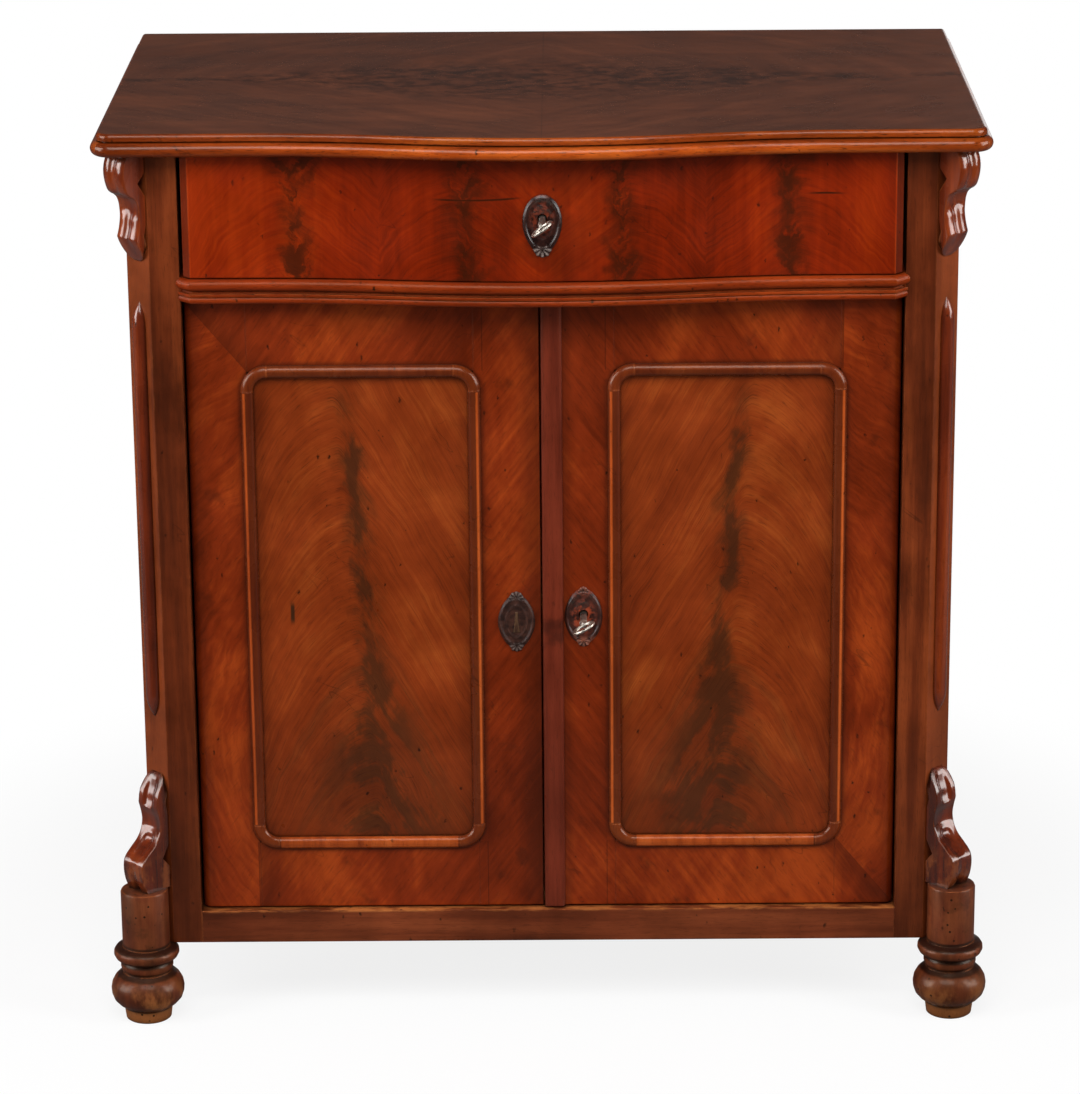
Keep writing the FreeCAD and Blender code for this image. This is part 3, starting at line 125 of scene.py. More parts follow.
def gapTo(value, level):
    return sizeOf(minus(value, level))


def above(value, level):
    return calc("GREATER_THAN", value, level)


def below(value, level):
    return calc("LESS_THAN", value, level)


def blend(*parts):
    return plus(*[times(value, share) for value, share in parts])


def waver(value, noise, amount):
    return plus(value, times(minus(noise, 0.5), amount))


def span(value, low, high, start=0.0, end=1.0):
    return addNode(treeOf(value), "ShaderNodeMapRange", {"interpolation_type": "SMOOTHSTEP"}, {
        "Value": value, "From Min": low, "From Max": high, "To Min": start, "To Max": end}).outputs[0]


def window(value, edges):
    return times(span(value, edges[0], edges[1]), span(value, edges[3], edges[2]))


def blendTone(share, first, second, mode="MIX"):
    return addNode(treeOf(share, first, second), "ShaderNodeMix", {"data_type": "RGBA", "blend_type": mode},
                   {0: share, 6: first, 7: second}).outputs[2]


def blendValue(share, first, second):
    return addNode(treeOf(share, first, second), "ShaderNodeMix", {"data_type": "FLOAT"},
                   {0: share, 2: first, 3: second}).outputs[0]


def stain(colour, tone, mask, amount):
    return blendTone(times(mask, amount), colour, tone)


def remap(vector, scale=(1, 1, 1), turn=(0, 0, 0), shift=(0, 0, 0)):
    return addNode(treeOf(vector), "ShaderNodeMapping", {}, {
        "Vector": vector, "Location": shift, "Rotation": turn, "Scale": scale}).outputs[0]


def cloud(vector, scale, detail=3.0, roughness=0.55, distortion=0.0):
    return addNode(treeOf(vector), "ShaderNodeTexNoise", {}, {
        "Vector": vector, "Scale": scale, "Detail": detail, "Roughness": roughness,
        "Distortion": distortion}).outputs[0]


def drawn(vector, share, *noise):
    return cloud(remap(vector, (1, 1, share)), *noise)


def dotted(vector, scale):
    return addNode(treeOf(vector), "ShaderNodeTexVoronoi", {}, {"Vector": vector, "Scale": scale}).outputs


def split(vector):
    return addNode(treeOf(vector), "ShaderNodeSeparateXYZ", {}, {"Vector": vector}).outputs


def merge(x, y, z):
    return addNode(treeOf(x, y, z), "ShaderNodeCombineXYZ", {}, {"X": x, "Y": y, "Z": z}).outputs[0]


def lengthOf(vector):
    return addNode(treeOf(vector), "ShaderNodeVectorMath", {"operation": "LENGTH"},
                   {"Vector": vector}).outputs["Value"]


def newGroup(name, takes, gives):
    tree = bpy.data.node_groups.new(name, "ShaderNodeTree")
    for labels, way in ((takes, "INPUT"), (gives, "OUTPUT")):
        for label in labels:
            kind = "Vector" if label in ("Vector", "Soft") else "Float"
            tree.interface.new_socket(label, in_out=way, socket_type="NodeSocket" + kind)
    return tree, addNode(tree, "NodeGroupInput").outputs, addNode(tree, "NodeGroupOutput").inputs


def useGroup(group, feeds):
    return addNode(treeOf(*feeds.values()), "ShaderNodeGroup", {"node_tree": group}, feeds).outputs


def newMaterial(name):
    material = bpy.data.materials.new(name)
    material.use_nodes = True
    material.node_tree.nodes.clear()
    return material, addNode(material.node_tree, "ShaderNodeTexCoord").outputs["Object"]


def finishMaterial(material, kind, feeds):
    shader = addNode(material.node_tree, kind, {}, feeds)
    addNode(material.node_tree, "ShaderNodeOutputMaterial", {}, {0: shader.outputs[0]})
    return material


def relief(height, strength, depth, soft=None):
    bump = addNode(treeOf(height), "ShaderNodeBump", {}, {"Strength": strength, "Distance": depth, "Height": height})
    if soft is not None:
        feed(bump.inputs["Normal"], soft)
    return bump.outputs[0]


# Shared effects

ageLook = {"bevel": 0.0017, "edge": (0.012, 0.13), "rub": (0.4, 0.6), "crevice": 0.009, "creviceDirtAndShade": (0.22, 0.75),
           "speckScale": 125.0, "fray": 0.004, "speckSize": (0.08, 0.25), "speckChance": 0.7,
           "scratch": (0.006, 0.001), "scratched": (0.54, 0.66)}
grainLook = {"mix": (0.6, 0.4), "pores": (0.58, 0.72)}
featherLook = {"round": 0.0002, "meet": 0.012, "lines": (230, 11, 1), "broad": (34, 7, 1), "fine": (1300, 80, 1),
               "pores": (0.54, 0.72)}
wormLook = {"scale": 150.0, "size": (0.2, 0.13)}


def makeGrain():
    tree, takes, gives = newGroup("woodGrain", ("Vector",), ("Streak", "Fibre", "Pores"))
    vector = takes["Vector"]
    broad = drawn(vector, 0.12, 16, 4, 0.6, 0.3)
    narrow = drawn(vector, 0.05, 90, 4, 0.65)
    feed(gives["Streak"], blend(*zip((broad, narrow), grainLook["mix"])))
    feed(gives["Fibre"], drawn(vector, 0.03, 420, 2))
    feed(gives["Pores"], span(drawn(vector, 0.1, 1100, 1), *grainLook["pores"]))
    return tree


def makeFeather():
    look = featherLook
    tree, takes, gives = newGroup("crotchFeather", ("Across", "Along", "Arch", "Slope"),
                                  ("Lines", "Broad", "Fine"))
    across = takes["Across"]
    square = times(across, across)
    away = calc("SQRT", plus(square, look["round"]))
    outer = span(across, -look["meet"], look["meet"])
    drop = blendValue(outer, times(away, takes["Slope"]), times(square, takes["Arch"]))
    spot = merge(plus(takes["Along"], drop), away, outer)
    feed(gives["Lines"], cloud(remap(spot, look["lines"]), 1, 5, 0.7, 0.15))
    feed(gives["Broad"], cloud(remap(spot, look["broad"]), 1, 4, 0.6, 0.3))
    feed(gives["Fine"], span(cloud(remap(spot, look["fine"]), 1, 2), *look["pores"]))
    return tree


def makeAge():
    look = ageLook
    tree, takes, gives = newGroup("agedSurface", ("Vector",),
                                  ("Wear", "CreviceDirtAndShade", "Specks", "Scratches", "Patina", "Soft"))
    vector = takes["Vector"]
    rounded = addNode(tree, "ShaderNodeBevel", {"samples": 3}, {"Radius": look["bevel"]}).outputs[0]
    normal = addNode(tree, "ShaderNodeNewGeometry").outputs["Normal"]
    meet = addNode(tree, "ShaderNodeVectorMath", {"operation": "DOT_PRODUCT"}, {0: rounded, 1: normal})
    edge = span(minus(1.0, meet.outputs["Value"]), *look["edge"])
    feed(gives["Wear"], times(edge, span(cloud(vector, 45, 4, 0.65), *look["rub"])))
    # Crevice darkening from ambient occlusion: partly dirt, partly painted shade in creases and between parts
    light = addNode(tree, "ShaderNodeAmbientOcclusion", {"samples": 3}, {"Distance": look["crevice"]}).outputs["AO"]
    feed(gives["CreviceDirtAndShade"], span(minus(1.0, light), *look["creviceDirtAndShade"]))
    bent = remap(vector, (1, 1, 0.6), (0.2, 0.5, 0.1))
    ragged = addNode(tree, "ShaderNodeTexNoise", {}, {"Vector": vector, "Scale": 300.0, "Detail": 2.0})
    frayed = addNode(tree, "ShaderNodeMix", {"data_type": "VECTOR"},
                     {0: look["fray"], 4: bent, 5: ragged.outputs["Color"]})
    dots = dotted(frayed.outputs[1], look["speckScale"])
    chances = split(dots["Color"])
    size = span(chances[1], 0.3, 1.0, *look["speckSize"])
    feed(gives["Specks"], times(span(dots["Distance"], size, 0.03), above(chances[0], look["speckChance"])))
    turned = remap(vector, turn=(0.3, 0.9, 0.4))
    line = span(gapTo(drawn(turned, 0.07, 60, 1), 0.5), *look["scratch"])
    feed(gives["Scratches"], times(line, span(cloud(turned, 14, 2), *look["scratched"])))
    feed(gives["Patina"], cloud(vector, 11, 4, 0.6))
    feed(gives["Soft"], rounded)
    return tree


def makeWorm():
    tree, takes, gives = newGroup("wormHoles", ("Vector", "Amount"), ("Holes",))
    dots = dotted(takes["Vector"], wormLook["scale"])
    chosen = above(split(dots["Color"])[1], minus(1.0, takes["Amount"]))
    feed(gives["Holes"], times(span(dots["Distance"], *wormLook["size"]), chosen))
    return tree


grainGroup = makeGrain()
featherGroup = makeFeather()
ageGroup = makeAge()
wormGroup = makeWorm()


def featherOf(across, along, look):
    return useGroup(featherGroup, {"Across": across, "Along": along, "Arch": look["arch"], "Slope": look["slope"]})


# Woods: a look dictionary gives the colours and how worn a piece is, a figure adds its own pattern; crevices darken
# as dirt and painted shade

def makeWood(name, look, figure=None):
    material, place = newMaterial(name)
    grain = useGroup(grainGroup, {"Vector": remap(place, turn=look["turn"])})
    age = useGroup(ageGroup, {"Vector": place})
    tone, pores, dark = figure(place, grain) if figure else (grain["Streak"], grain["Pores"], None)
    ramp = addNode(material.node_tree, "ShaderNodeValToRGB", {}, {0: tone})
    stops = ramp.color_ramp.elements
    stops[0].position, stops[1].position = look["stops"]
    stops[0].color, stops[1].color = look["low"], look["high"]
    stops.new(sum(look["stops"]) / 2).color = look["middle"]
    colour = ramp.outputs[0]
    if dark is not None:
        colour = blendTone(dark, colour, look["dark"])
    colour = stain(colour, look["pore"], pores, look["pores"])
    cloudy = span(age["Patina"], 0.3, 0.7, 1.0 - look["patchy"], 1.0 + look["patchy"])
    colour = blendTone(1.0, colour, merge(cloudy, cloudy, cloudy), "MULTIPLY")
    colour = stain(colour, look["worn"], age["Wear"], look["wear"])
    # Crevices take the dark tone: partly dirt, partly painted shade
    colour = stain(colour, look["dirtAndShadeTone"], age["CreviceDirtAndShade"], look["creviceDirtAndShade"])
    marks = most(times(age["Specks"], look["specks"]), times(age["Scratches"], look["scratches"]))
    if look["worm"] > 0:
        marks = most(marks, useGroup(wormGroup, {"Vector": place, "Amount": look["worm"]})["Holes"])
    colour = blendTone(marks, colour, look["dirtAndShadeTone"])
    height = minus(times(grain["Fibre"], look["fibreRise"]), plus(times(pores, look["poreDrop"]), marks))
    normal = relief(height, look["relief"], look["depth"], age["Soft"] if look["soft"] else None)
    rough = span(age["Patina"], 0.25, 0.75, look["rough"] - look["smoother"], look["rough"] + look["rougher"])
    rough = calc("ADD", rough, times(age["CreviceDirtAndShade"], look["grimeRough"]), clamp=True)
    return finishMaterial(material, "ShaderNodeBsdfPrincipled", {
        "Base Color": colour, "Roughness": rough, "Normal": normal, "Coat Weight": look["coat"],
        "Coat Roughness": look["coatRough"], "Specular IOR Level": look["shine"], "Specular Tint": look["gleam"]})


polish = {
    "turn": grainUp, "stops": (0.38, 0.62), "low": tint(84, 28, 5), "middle": tint(118, 42, 10),
    "high": tint(142, 57, 17), "dark": tint(50, 18, 6), "worn": tint(182, 98, 46), "dirtAndShadeTone": tint(20, 7, 3),
    "pore": tint(50, 17, 6), "pores": 0.3, "patchy": 0.14, "wear": 0.4, "creviceDirtAndShade": 0.8, "specks": 0.7,
    "scratches": 0.4, "worm": 0.0, "relief": 0.2, "depth": 0.0006, "fibreRise": 0.25, "poreDrop": 0.3, "soft": True,
    "rough": 0.34, "smoother": 0.07, "rougher": 0.09, "grimeRough": 0.2, "coat": 0.16, "coatRough": 0.12,
    "shine": 0.25, "gleam": (1.0, 0.72, 0.5, 1.0),
}
topLook = dict(polish, turn=grainAcross, low=tint(81, 43, 28), middle=tint(95, 52, 34), high=tint(112, 62, 40),
               dark=tint(46, 25, 17), scratches=0.5, creviceDirtAndShade=0.2, coat=0.15, rough=0.3, specks=0.5, wear=0.0,
               soft=False, gleam=(1.0, 0.95, 0.9, 1.0))
edgeLook = dict(polish, turn=grainAcross, low=tint(112, 38, 4), middle=tint(166, 68, 14), high=tint(202, 98, 30),
                wear=0.5, coat=0.3, rough=0.26, specks=1.0, creviceDirtAndShade=0.6, pores=0.65)
sideEdgeLook = dict(edgeLook, turn=grainDeep, coat=0.6)
waistLook = dict(edgeLook, low=tint(96, 27, 3), middle=tint(128, 42, 9), high=tint(152, 58, 16), coat=0.06,
                 rough=0.34, gleam=(1.0, 0.6, 0.34, 1.0))
postLook = dict(polish, low=tint(66, 24, 8), middle=tint(92, 36, 13), high=tint(124, 55, 23), patchy=0.26,
                creviceDirtAndShade=0.22)
carvedLook = dict(polish, low=tint(60, 17, 5), middle=tint(104, 35, 9), high=tint(140, 57, 17),
                  dark=tint(162, 86, 38), coat=0.95, rough=0.26, wear=0.5, worm=0.03, creviceDirtAndShade=1.0, shine=0.22,
                  gleam=(1.0, 0.7, 0.5, 1.0))
footLook = dict(polish, low=tint(36, 12, 6), middle=tint(84, 36, 18), high=tint(116, 58, 31),
                dark=tint(152, 92, 48), stops=(0.34, 0.64), worm=0.2, wear=0.7, specks=0.9, patchy=0.3, coat=0.1,
                rough=0.42, creviceDirtAndShade=1.0)
plinthLook = dict(polish, turn=grainAcross, low=tint(74, 30, 13), middle=tint(98, 42, 20), high=tint(122, 58, 30),
                  dark=tint(176, 104, 52), worm=0.08, wear=1.0, specks=0.9, patchy=0.22)
astragalLook = dict(polish, low=tint(70, 21, 11), middle=tint(96, 34, 19), high=tint(116, 45, 27),
                    dark=tint(40, 14, 10), specks=0.4)
panelEdgeLook = dict(polish, low=tint(130, 48, 12), middle=tint(180, 78, 26), high=tint(204, 98, 40),
                     dark=tint(58, 18, 9), coat=0.22, rough=0.27, creviceDirtAndShade=1.0)
drawerLook = dict(polish, stops=(0.395, 0.605), low=tint(92, 19, 0), middle=tint(125, 29, 0), high=tint(148, 43, 2),
                  dark=tint(56, 18, 3), specks=0.8)
panelLook = dict(polish, stops=(0.36, 0.66), low=tint(99, 33, 7), middle=tint(130, 50, 14), high=tint(157, 73, 25),
                 dark=tint(58, 31, 14), pores=0.62, specks=0.95, creviceDirtAndShade=0.95)
frameLook = dict(polish, stops=(0.385, 0.62), low=tint(92, 26, 3), middle=tint(121, 39, 8), high=tint(153, 60, 16),
                 dark=tint(54, 17, 5), specks=0.9, scratches=0.35, creviceDirtAndShade=0.12, wear=0.1)

# Figures: each gives the tone, the pores and the dark parts of one wood, from places in metres; on some woods the
# dark parts hold painted shade and the tone a painted highlight

panelMiddle = (0.167, 0.4005)


def toFrame(x, z, half, corner):
    offX = minus(gapTo(x, panelMiddle[0]), half[0] - corner)
    offZ = minus(gapTo(z, panelMiddle[1]), half[1] - corner)
    past = lengthOf(merge(most(offX, 0.0), most(offZ, 0.0), 0.0))
    within = calc("MINIMUM", most(offX, offZ), 0.0)
    return minus(plus(past, within), corner)


drawerFigureLook = {
    "spines": (0.0695, 0.2225), "parting": 0.146, "arch": 9.0, "slope": 0.9, "leaf": 0.035, "leafRise": 1.5,
    "leafDark": 0.88, "smokeReach": 0.03, "smokeDark": 0.68, "plate": (0.07, 0.018), "plateDark": 0.42,
    "end": 0.3165, "endWidth": 0.0012, "endBevelShade": 0.55, "arris": 0.0011, "arrisHighlight": 0.14,
    "band": (0.14, 0.05, 0.01), "bandDull": 0.05, "mix": (0.29, 0.25, 0.46),
    "cracks": ((-0.104, -0.012, 0.796, -0.07, 1.0), (0.23, 0.277, 0.797, 0.25, -1.5)),
    "crackWidth": (0.0013, 0.0005), "crackFade": 0.02,
}


def drawerFigure(place, grain):
    look = drawerFigureLook
    x, _, z = split(place)
    apart = sizeOf(x)
    inner, outer = look["spines"]
    spine = plus(inner, times(above(apart, look["parting"]), outer - inner))
    across = waver(minus(apart, spine), cloud(place, 20), 0.03)
    feather = featherOf(across, z, look)
    away = sizeOf(waver(across, cloud(place, 120, 4, 0.7), 0.02))
    upward = minus(z, times(away, look["leafRise"]))
    leaves = cloud(merge(times(upward, 62), times(x, 24), 0.0), 1, 4, 0.6, 0.4)
    reach = span(cloud(remap(place, (0.5, 1, 1)), 34, 2), 0.36, 0.64, 0.3 * look["leaf"], look["leaf"])
    core = span(calc("DIVIDE", away, reach), 1.0, 0.1)
    smoke = times(span(away, look["smokeReach"], 0.0), span(feather["Broad"], 0.36, 0.62))
    dark = most(times(core, span(leaves, 0.36, 0.56), look["leafDark"]), times(smoke, look["smokeDark"]))
    for start, end, level, low, bow in look["cracks"]:
        off = minus(x, low)
        gap = gapTo(z, plus(times(off, off, bow), level))
        fade = window(x, (start, start + look["crackFade"], end - look["crackFade"], end))
        dark = most(dark, times(span(gap, *look["crackWidth"]), fade))
    around = times(span(apart, *look["plate"]), span(cloud(place, 30), 0.3, 0.6))
    # Painted shade: the end bevels beyond the front arris are darkened
    edge = span(apart, look["end"], look["end"] + look["endWidth"])
    dark = most(dark, times(around, look["plateDark"]), times(edge, look["endBevelShade"]))
    zones = cloud(remap(place, (1, 1, 0.3), shift=(0.13, 0, 0.4)), 15, 4, 0.6, 0.6)
    middle, half, inside = look["band"]
    dull = span(gapTo(apart, middle), half, inside, 0.0, look["bandDull"])
    # Painted highlight: a light line along the front arris of each end bevel
    arris = span(gapTo(apart, look["end"]), look["arris"], 0.0, 0.0, look["arrisHighlight"])
    mixed = blend(*zip((feather["Lines"], zones, grain["Streak"]), look["mix"]))
    return plus(minus(mixed, dull), arris), feather["Fine"], dark


panelFigureLook = {
    "top": 0.184, "bottom": 0.146, "low": 0.171, "high": 0.63, "arch": 10.5, "slope": 2.2, "narrow": 0.011,
    "wide": 0.078, "widening": (0.5, 0.05), "stain": (0.42, 0.22, 0.36), "stained": (0.41, 0.53),
    "veil": (0.1, 0.42), "thread": (0.01, 0.001), "threadDark": 0.72, "strength": 0.83, "topDark": 0.2,
    "slit": (0.234, 0.398, 0.013, 0.0026), "half": (0.103, 0.2295), "corner": 0.0195, "rim": 0.006, "rimShade": 0.6,
    "mix": (0.34, 0.26, 0.4),
}


def panelFigure(side):
    def figure(place, grain):
        look = panelFigureLook
        x, _, z = split(place)
        apart = times(x, side)
        rise = addNode(treeOf(z), "ShaderNodeMapRange", {}, {
            "Value": z, "From Min": look["low"], "From Max": look["high"]}).outputs[0]
        shifted = remap(place, shift=(0.3 * side, 0, 0))
        line = plus(look["bottom"], times(rise, look["top"] - look["bottom"]))
        straight = minus(apart, line)
        feather = featherOf(waver(straight, cloud(shifted, 9), 0.022), z, look)
        lines, broad = feather["Lines"], feather["Broad"]
        across = waver(straight, cloud(shifted, 13), 0.036)
        away = sizeOf(waver(across, drawn(shifted, 0.5, 95, 5, 0.72), 0.022))
        share = calc("DIVIDE", away, span(rise, *look["widening"], look["narrow"], look["wide"]))
        blotch = drawn(shifted, 0.7, 30, 5, 0.62, 0.3)
        patchy = blend(*zip((blotch, lines, broad), look["stain"]))
        core = times(span(share, 1.2, 0.25), span(patchy, *look["stained"]))
        veil = times(span(share, 1.5, 0.2), span(rise, 0.5, 0.1, *look["veil"]))
        thread = times(span(away, *look["thread"]), span(broad, 0.3, 0.56))
        halo = times(span(share, 2.2, 0.5), span(broad, 0.44, 0.64))
        dark = most(core, times(most(thread, halo), look["threadDark"]), veil)
        dark = times(dark, span(rise, 1.0, 0.86, look["topDark"], 1.0), look["strength"])
        if side < 0:
            at, level, half, thick = look["slit"]
            slit = span(sizeOf(plus(x, at)), thick, thick * 0.4)
            dark = most(dark, times(slit, span(gapTo(z, level), half, half * 0.4)))
        # Painted shade on the panel along the inside of its moulding
        rim = toFrame(apart, z, look["half"], look["corner"])
        dark = most(dark, span(rim, -look["rim"], 0.0, 0.0, look["rimShade"]))
        patches = cloud(shifted, 13, 4, 0.58, 0.4)
        return blend(*zip((lines, broad, patches), look["mix"])), feather["Fine"], dark
    return figure


doorFigureLook = {
    "low": 0.106, "high": 0.6975, "outer": 0.3255, "innerJoint": 0.056, "outerJoint": 0.272, "railLow": 0.171,
    "railHigh": 0.63, "mitre": 0.83, "seam": 0.0007, "seamDark": 0.7, "shaded": 0.04, "shadeDark": 0.4,
    "ringMiddle": (0.08, 0.28), "lean": 36, "curlLean": 1.3, "railDull": 0.04, "mix": (0.32, 0.68),
    "hingeEdgeShade": (0.016, 0.002, 0.2), "meeting": (0.03, 0.012, 0.4), "smokeDark": 0.5, "half": (0.109, 0.2355),
    "corner": 0.0255, "rim": 0.005, "rimShade": 0.6,
}


def doorFigure(side):
    def figure(place, grain):
        look = doorFigureLook
        x, _, z = split(place)
        apart = times(x, side)
        top, bottom = above(z, look["railHigh"]), below(z, look["railLow"])
        mitred, fromEnd = (top, minus(look["high"], z)) if side < 0 else (bottom, minus(z, look["low"]))
        slant = minus(minus(look["outer"], apart), times(fromEnd, look["mitre"]))
        ends = blendValue(mitred, minus(look["outerJoint"], apart), slant)
        depth = calc("MINIMUM", ends, minus(apart, look["innerJoint"]))
        band = most(top, bottom)
        rail = times(above(depth, 0.0), band)
        seam = times(span(sizeOf(depth), look["seam"], 0.0), band)
        offX, offZ = minus(apart, look["ringMiddle"][0]), minus(z, look["ringMiddle"][1])
        ring = calc("SQRT", plus(times(offX, offX), times(offZ, offZ)))
        ring = waver(ring, cloud(place, 10), 0.05)
        turn = calc("ARCTAN2", offZ, offX)
        stileLines = cloud(merge(times(ring, 190), times(turn, 4), side), 1, 5, 0.7, 0.1)
        lean = math.radians(look["lean"]) * side
        leaning = remap(place, turn=(0, lean, 0))
        railLines = minus(drawn(leaning, 0.07, 150, 5, 0.7, 0.1), look["railDull"])
        leaned = most(rail, below(apart, look["innerJoint"]))
        both = blendValue(leaned, stileLines, railLines)
        curled = remap(place, (1, 1, 0.55), (0, lean * look["curlLean"], 0), (0.2 * side, 0, 0))
        mixed = blend(*zip((both, cloud(curled, 11, 5, 0.6, 0.5)), look["mix"]))
        # Painted shade: the frame darkens towards the hinge edge under the post, towards the meeting edge beside the
        # strip, and along the panel moulding (rim)
        outer, (far, near, hung) = look["outer"], look["hingeEdgeShade"]
        hingeEdgeShade = span(apart, outer - far, outer - near, 0.0, hung)
        far, near, met = look["meeting"]
        meeting = span(apart, far, near, 0.0, met)
        joint = times(span(ends, look["shaded"], 0.0, 0.0, look["shadeDark"]), rail)
        smoke = times(span(cloud(place, 24, 4, 0.6), 0.6, 0.74), look["smokeDark"])
        rim = span(toFrame(apart, z, look["half"], look["corner"]), look["rim"], 0.0, 0.0, look["rimShade"])
        dark = most(hingeEdgeShade, meeting, joint, rim, smoke, times(seam, look["seamDark"]))
        fine = span(drawn(leaning, 0.12, 900, 2), 0.55, 0.72)
        return mixed, fine, dark
    return figure


boardMix = (0.35, 0.2, 0.45)
topFigureLook = {"middle": 0.03, "half": 0.13, "tip": 0.01, "length": 0.37, "arch": 4.0, "slope": 1.4, "lens": 0.75,
                 "seam": 0.0006, "seamDark": 0.6}


def topFigure(place, grain):
    look = topFigureLook
    x, y, _ = split(place)
    along = sizeOf(x)
    across = waver(minus(y, look["middle"]), cloud(place, 9), 0.06)
    feather = featherOf(across, along, look)
    taper = span(along, look["length"], 0.0, look["tip"], look["half"])
    frayed = waver(across, cloud(remap(place, (0.6, 1, 1)), 60, 4, 0.7), 0.05)
    lens = span(calc("DIVIDE", sizeOf(frayed), taper), 1.1, 0.2)
    mottle = span(cloud(remap(place, (0.7, 1, 1)), 75, 5, 0.7), 0.4, 0.62)
    seam = span(along, look["seam"], 0.0)
    mixed = blend(*zip((feather["Broad"], feather["Lines"], grain["Streak"]), boardMix))
    return mixed, grain["Pores"], most(times(lens, mottle, look["lens"]), times(seam, look["seamDark"]))


sideFigureLook = {"middle": 0.06, "arch": 5.0, "slope": 1.6, "core": (0.03, 0.004), "coreDark": 0.7}


def sideFigure(place, grain):
    look = sideFigureLook
    _, y, z = split(place)
    across = waver(minus(y, look["middle"]), cloud(place, 8), 0.07)
    feather = featherOf(across, z, look)
    mixed = blend(*zip((feather["Broad"], feather["Lines"], grain["Streak"]), boardMix))
    core = span(sizeOf(across), *look["core"])
    return mixed, feather["Fine"], times(core, feather["Lines"], look["coreDark"])


postFigureLook = {"cant": (0.353, 0.355), "cantPaintedLight": 0.13, "lower": (0.42, 0.1), "lowerDark": 0.34,
                  "smokeDark": 0.45}


def postFigure(place, grain):
    look = postFigureLook
    x, _, z = split(place)
    smoke = span(drawn(place, 0.35, 26, 5, 0.65), 0.52, 0.7)
    # Painted light: the canted faces are made lighter than the flat ones; the flat faces also darken towards the
    # bottom
    canted = span(sizeOf(x), *look["cant"], 0.0, look["cantPaintedLight"])
    lower = times(span(z, *look["lower"], 0.0, look["lowerDark"]), span(canted, 0.1, 0.0))
    return plus(grain["Streak"], canted), grain["Pores"], most(times(smoke, look["smokeDark"]), lower)


astragalFigureLook = {"smudge": 0.382, "reach": 0.02, "smudgeDark": 0.6}


def astragalFigure(place, grain):
    look = astragalFigureLook
    ragged = waver(split(place)[2], cloud(place, 70, 4), 0.05)
    smudge = span(gapTo(ragged, look["smudge"]), look["reach"], 0.0)
    return grain["Streak"], grain["Pores"], times(smudge, look["smudgeDark"])


footFigureLook = {"grooves": (0.0128, 0.0475, 0.0597, 0.0735), "reach": 0.0042, "inside": 0.0006, "grooveDark": 0.4,
                  "grooveClean": 0.8, "rubbed": (0.045, 0.018, 0.1, 0.85), "stained": (0.07, 0.08),
                  "stainDark": 0.07, "pad": (0.0122, 0.0108, 0.0, 0.7)}


def footFigure(place, grain):
    look = footFigureLook
    z = split(place)[2]
    worn = span(drawn(place, 0.5, 55, 5, 0.65), 0.42, 0.62)
    low = span(z, *look["rubbed"])
    tone = grain["Streak"]
    for level in look["grooves"]:
        near = span(gapTo(z, level), look["reach"], look["inside"])
        tone = minus(tone, times(near, look["grooveDark"]))
        low = times(low, minus(1.0, times(near, look["grooveClean"])))
    blot = times(span(cloud(place, 75, 3, 0.6), 0.56, 0.7), span(z, *look["stained"]))
    tone = minus(tone, times(blot, look["stainDark"]))
    return tone, grain["Pores"], most(times(worn, low), span(z, *look["pad"]))


carvedFigureLook = {"worn": (0.172, 0.148), "wornLight": 0.42, "lower": 0.3, "lowerDull": 0.09}


def carvedFigure(place, grain):
    look = carvedFigureLook
    z = split(place)[2]
    rag = span(drawn(place, 0.5, 80, 4, 0.65), 0.44, 0.64)
    tone = minus(grain["Streak"], times(below(z, look["lower"]), look["lowerDull"]))
    return tone, grain["Pores"], times(rag, span(z, *look["worn"]), look["wornLight"])


edgeFigureLook = {"upper": (0.8455, 0.8485, 0.0, 0.35), "under": (0.8405, 0.8365, 0.0, 0.45),
                  "ends": (0.16, 0.4, 0.0, 0.38), "smoke": (0.5, 0.7, 0.0, 0.3)}


def edgeFigure(place, grain):
    look = edgeFigureLook
    x, _, z = split(place)
    smoke = span(cloud(remap(place, (0.3, 1, 1)), 40, 5, 0.65), *look["smoke"])
    # Painted shade on the lower, downward-turned part of the torus
    dark = most(span(z, *look["upper"]), span(sizeOf(x), *look["ends"]), smoke, span(z, *look["under"]))
    return grain["Streak"], grain["Pores"], dark


plinthFigureLook = {"edge": 0.1045, "reach": 0.0026, "wornLight": 0.85}


def plinthFigure(place, grain):
    look = plinthFigureLook
    edge = span(split(place)[2], look["edge"] - look["reach"], look["edge"])
    rag = span(cloud(remap(place, (0.35, 1, 1)), 90, 4, 0.7), 0.42, 0.62)
    return grain["Streak"], grain["Pores"], times(edge, rag, look["wornLight"])


panelEdgeFigureLook = {
    "jointX": 0.0835, "jointZ": 0.2105, "pastX": 0.09, "pastZ": 0.215, "joint": 0.0006, "cornerDark": 0.8,
    "upper": 0.62, "upperDark": 0.78, "crestX": 0.106, "crestZ": 0.2325, "sideFlankShade": (0.0002, 0.0019),
    "levelFlankShade": (0.0003, 0.002), "lit": (0.3, 0.5, 0.4, 1.0), "rimShade": 0.92, "strength": 0.9,
}


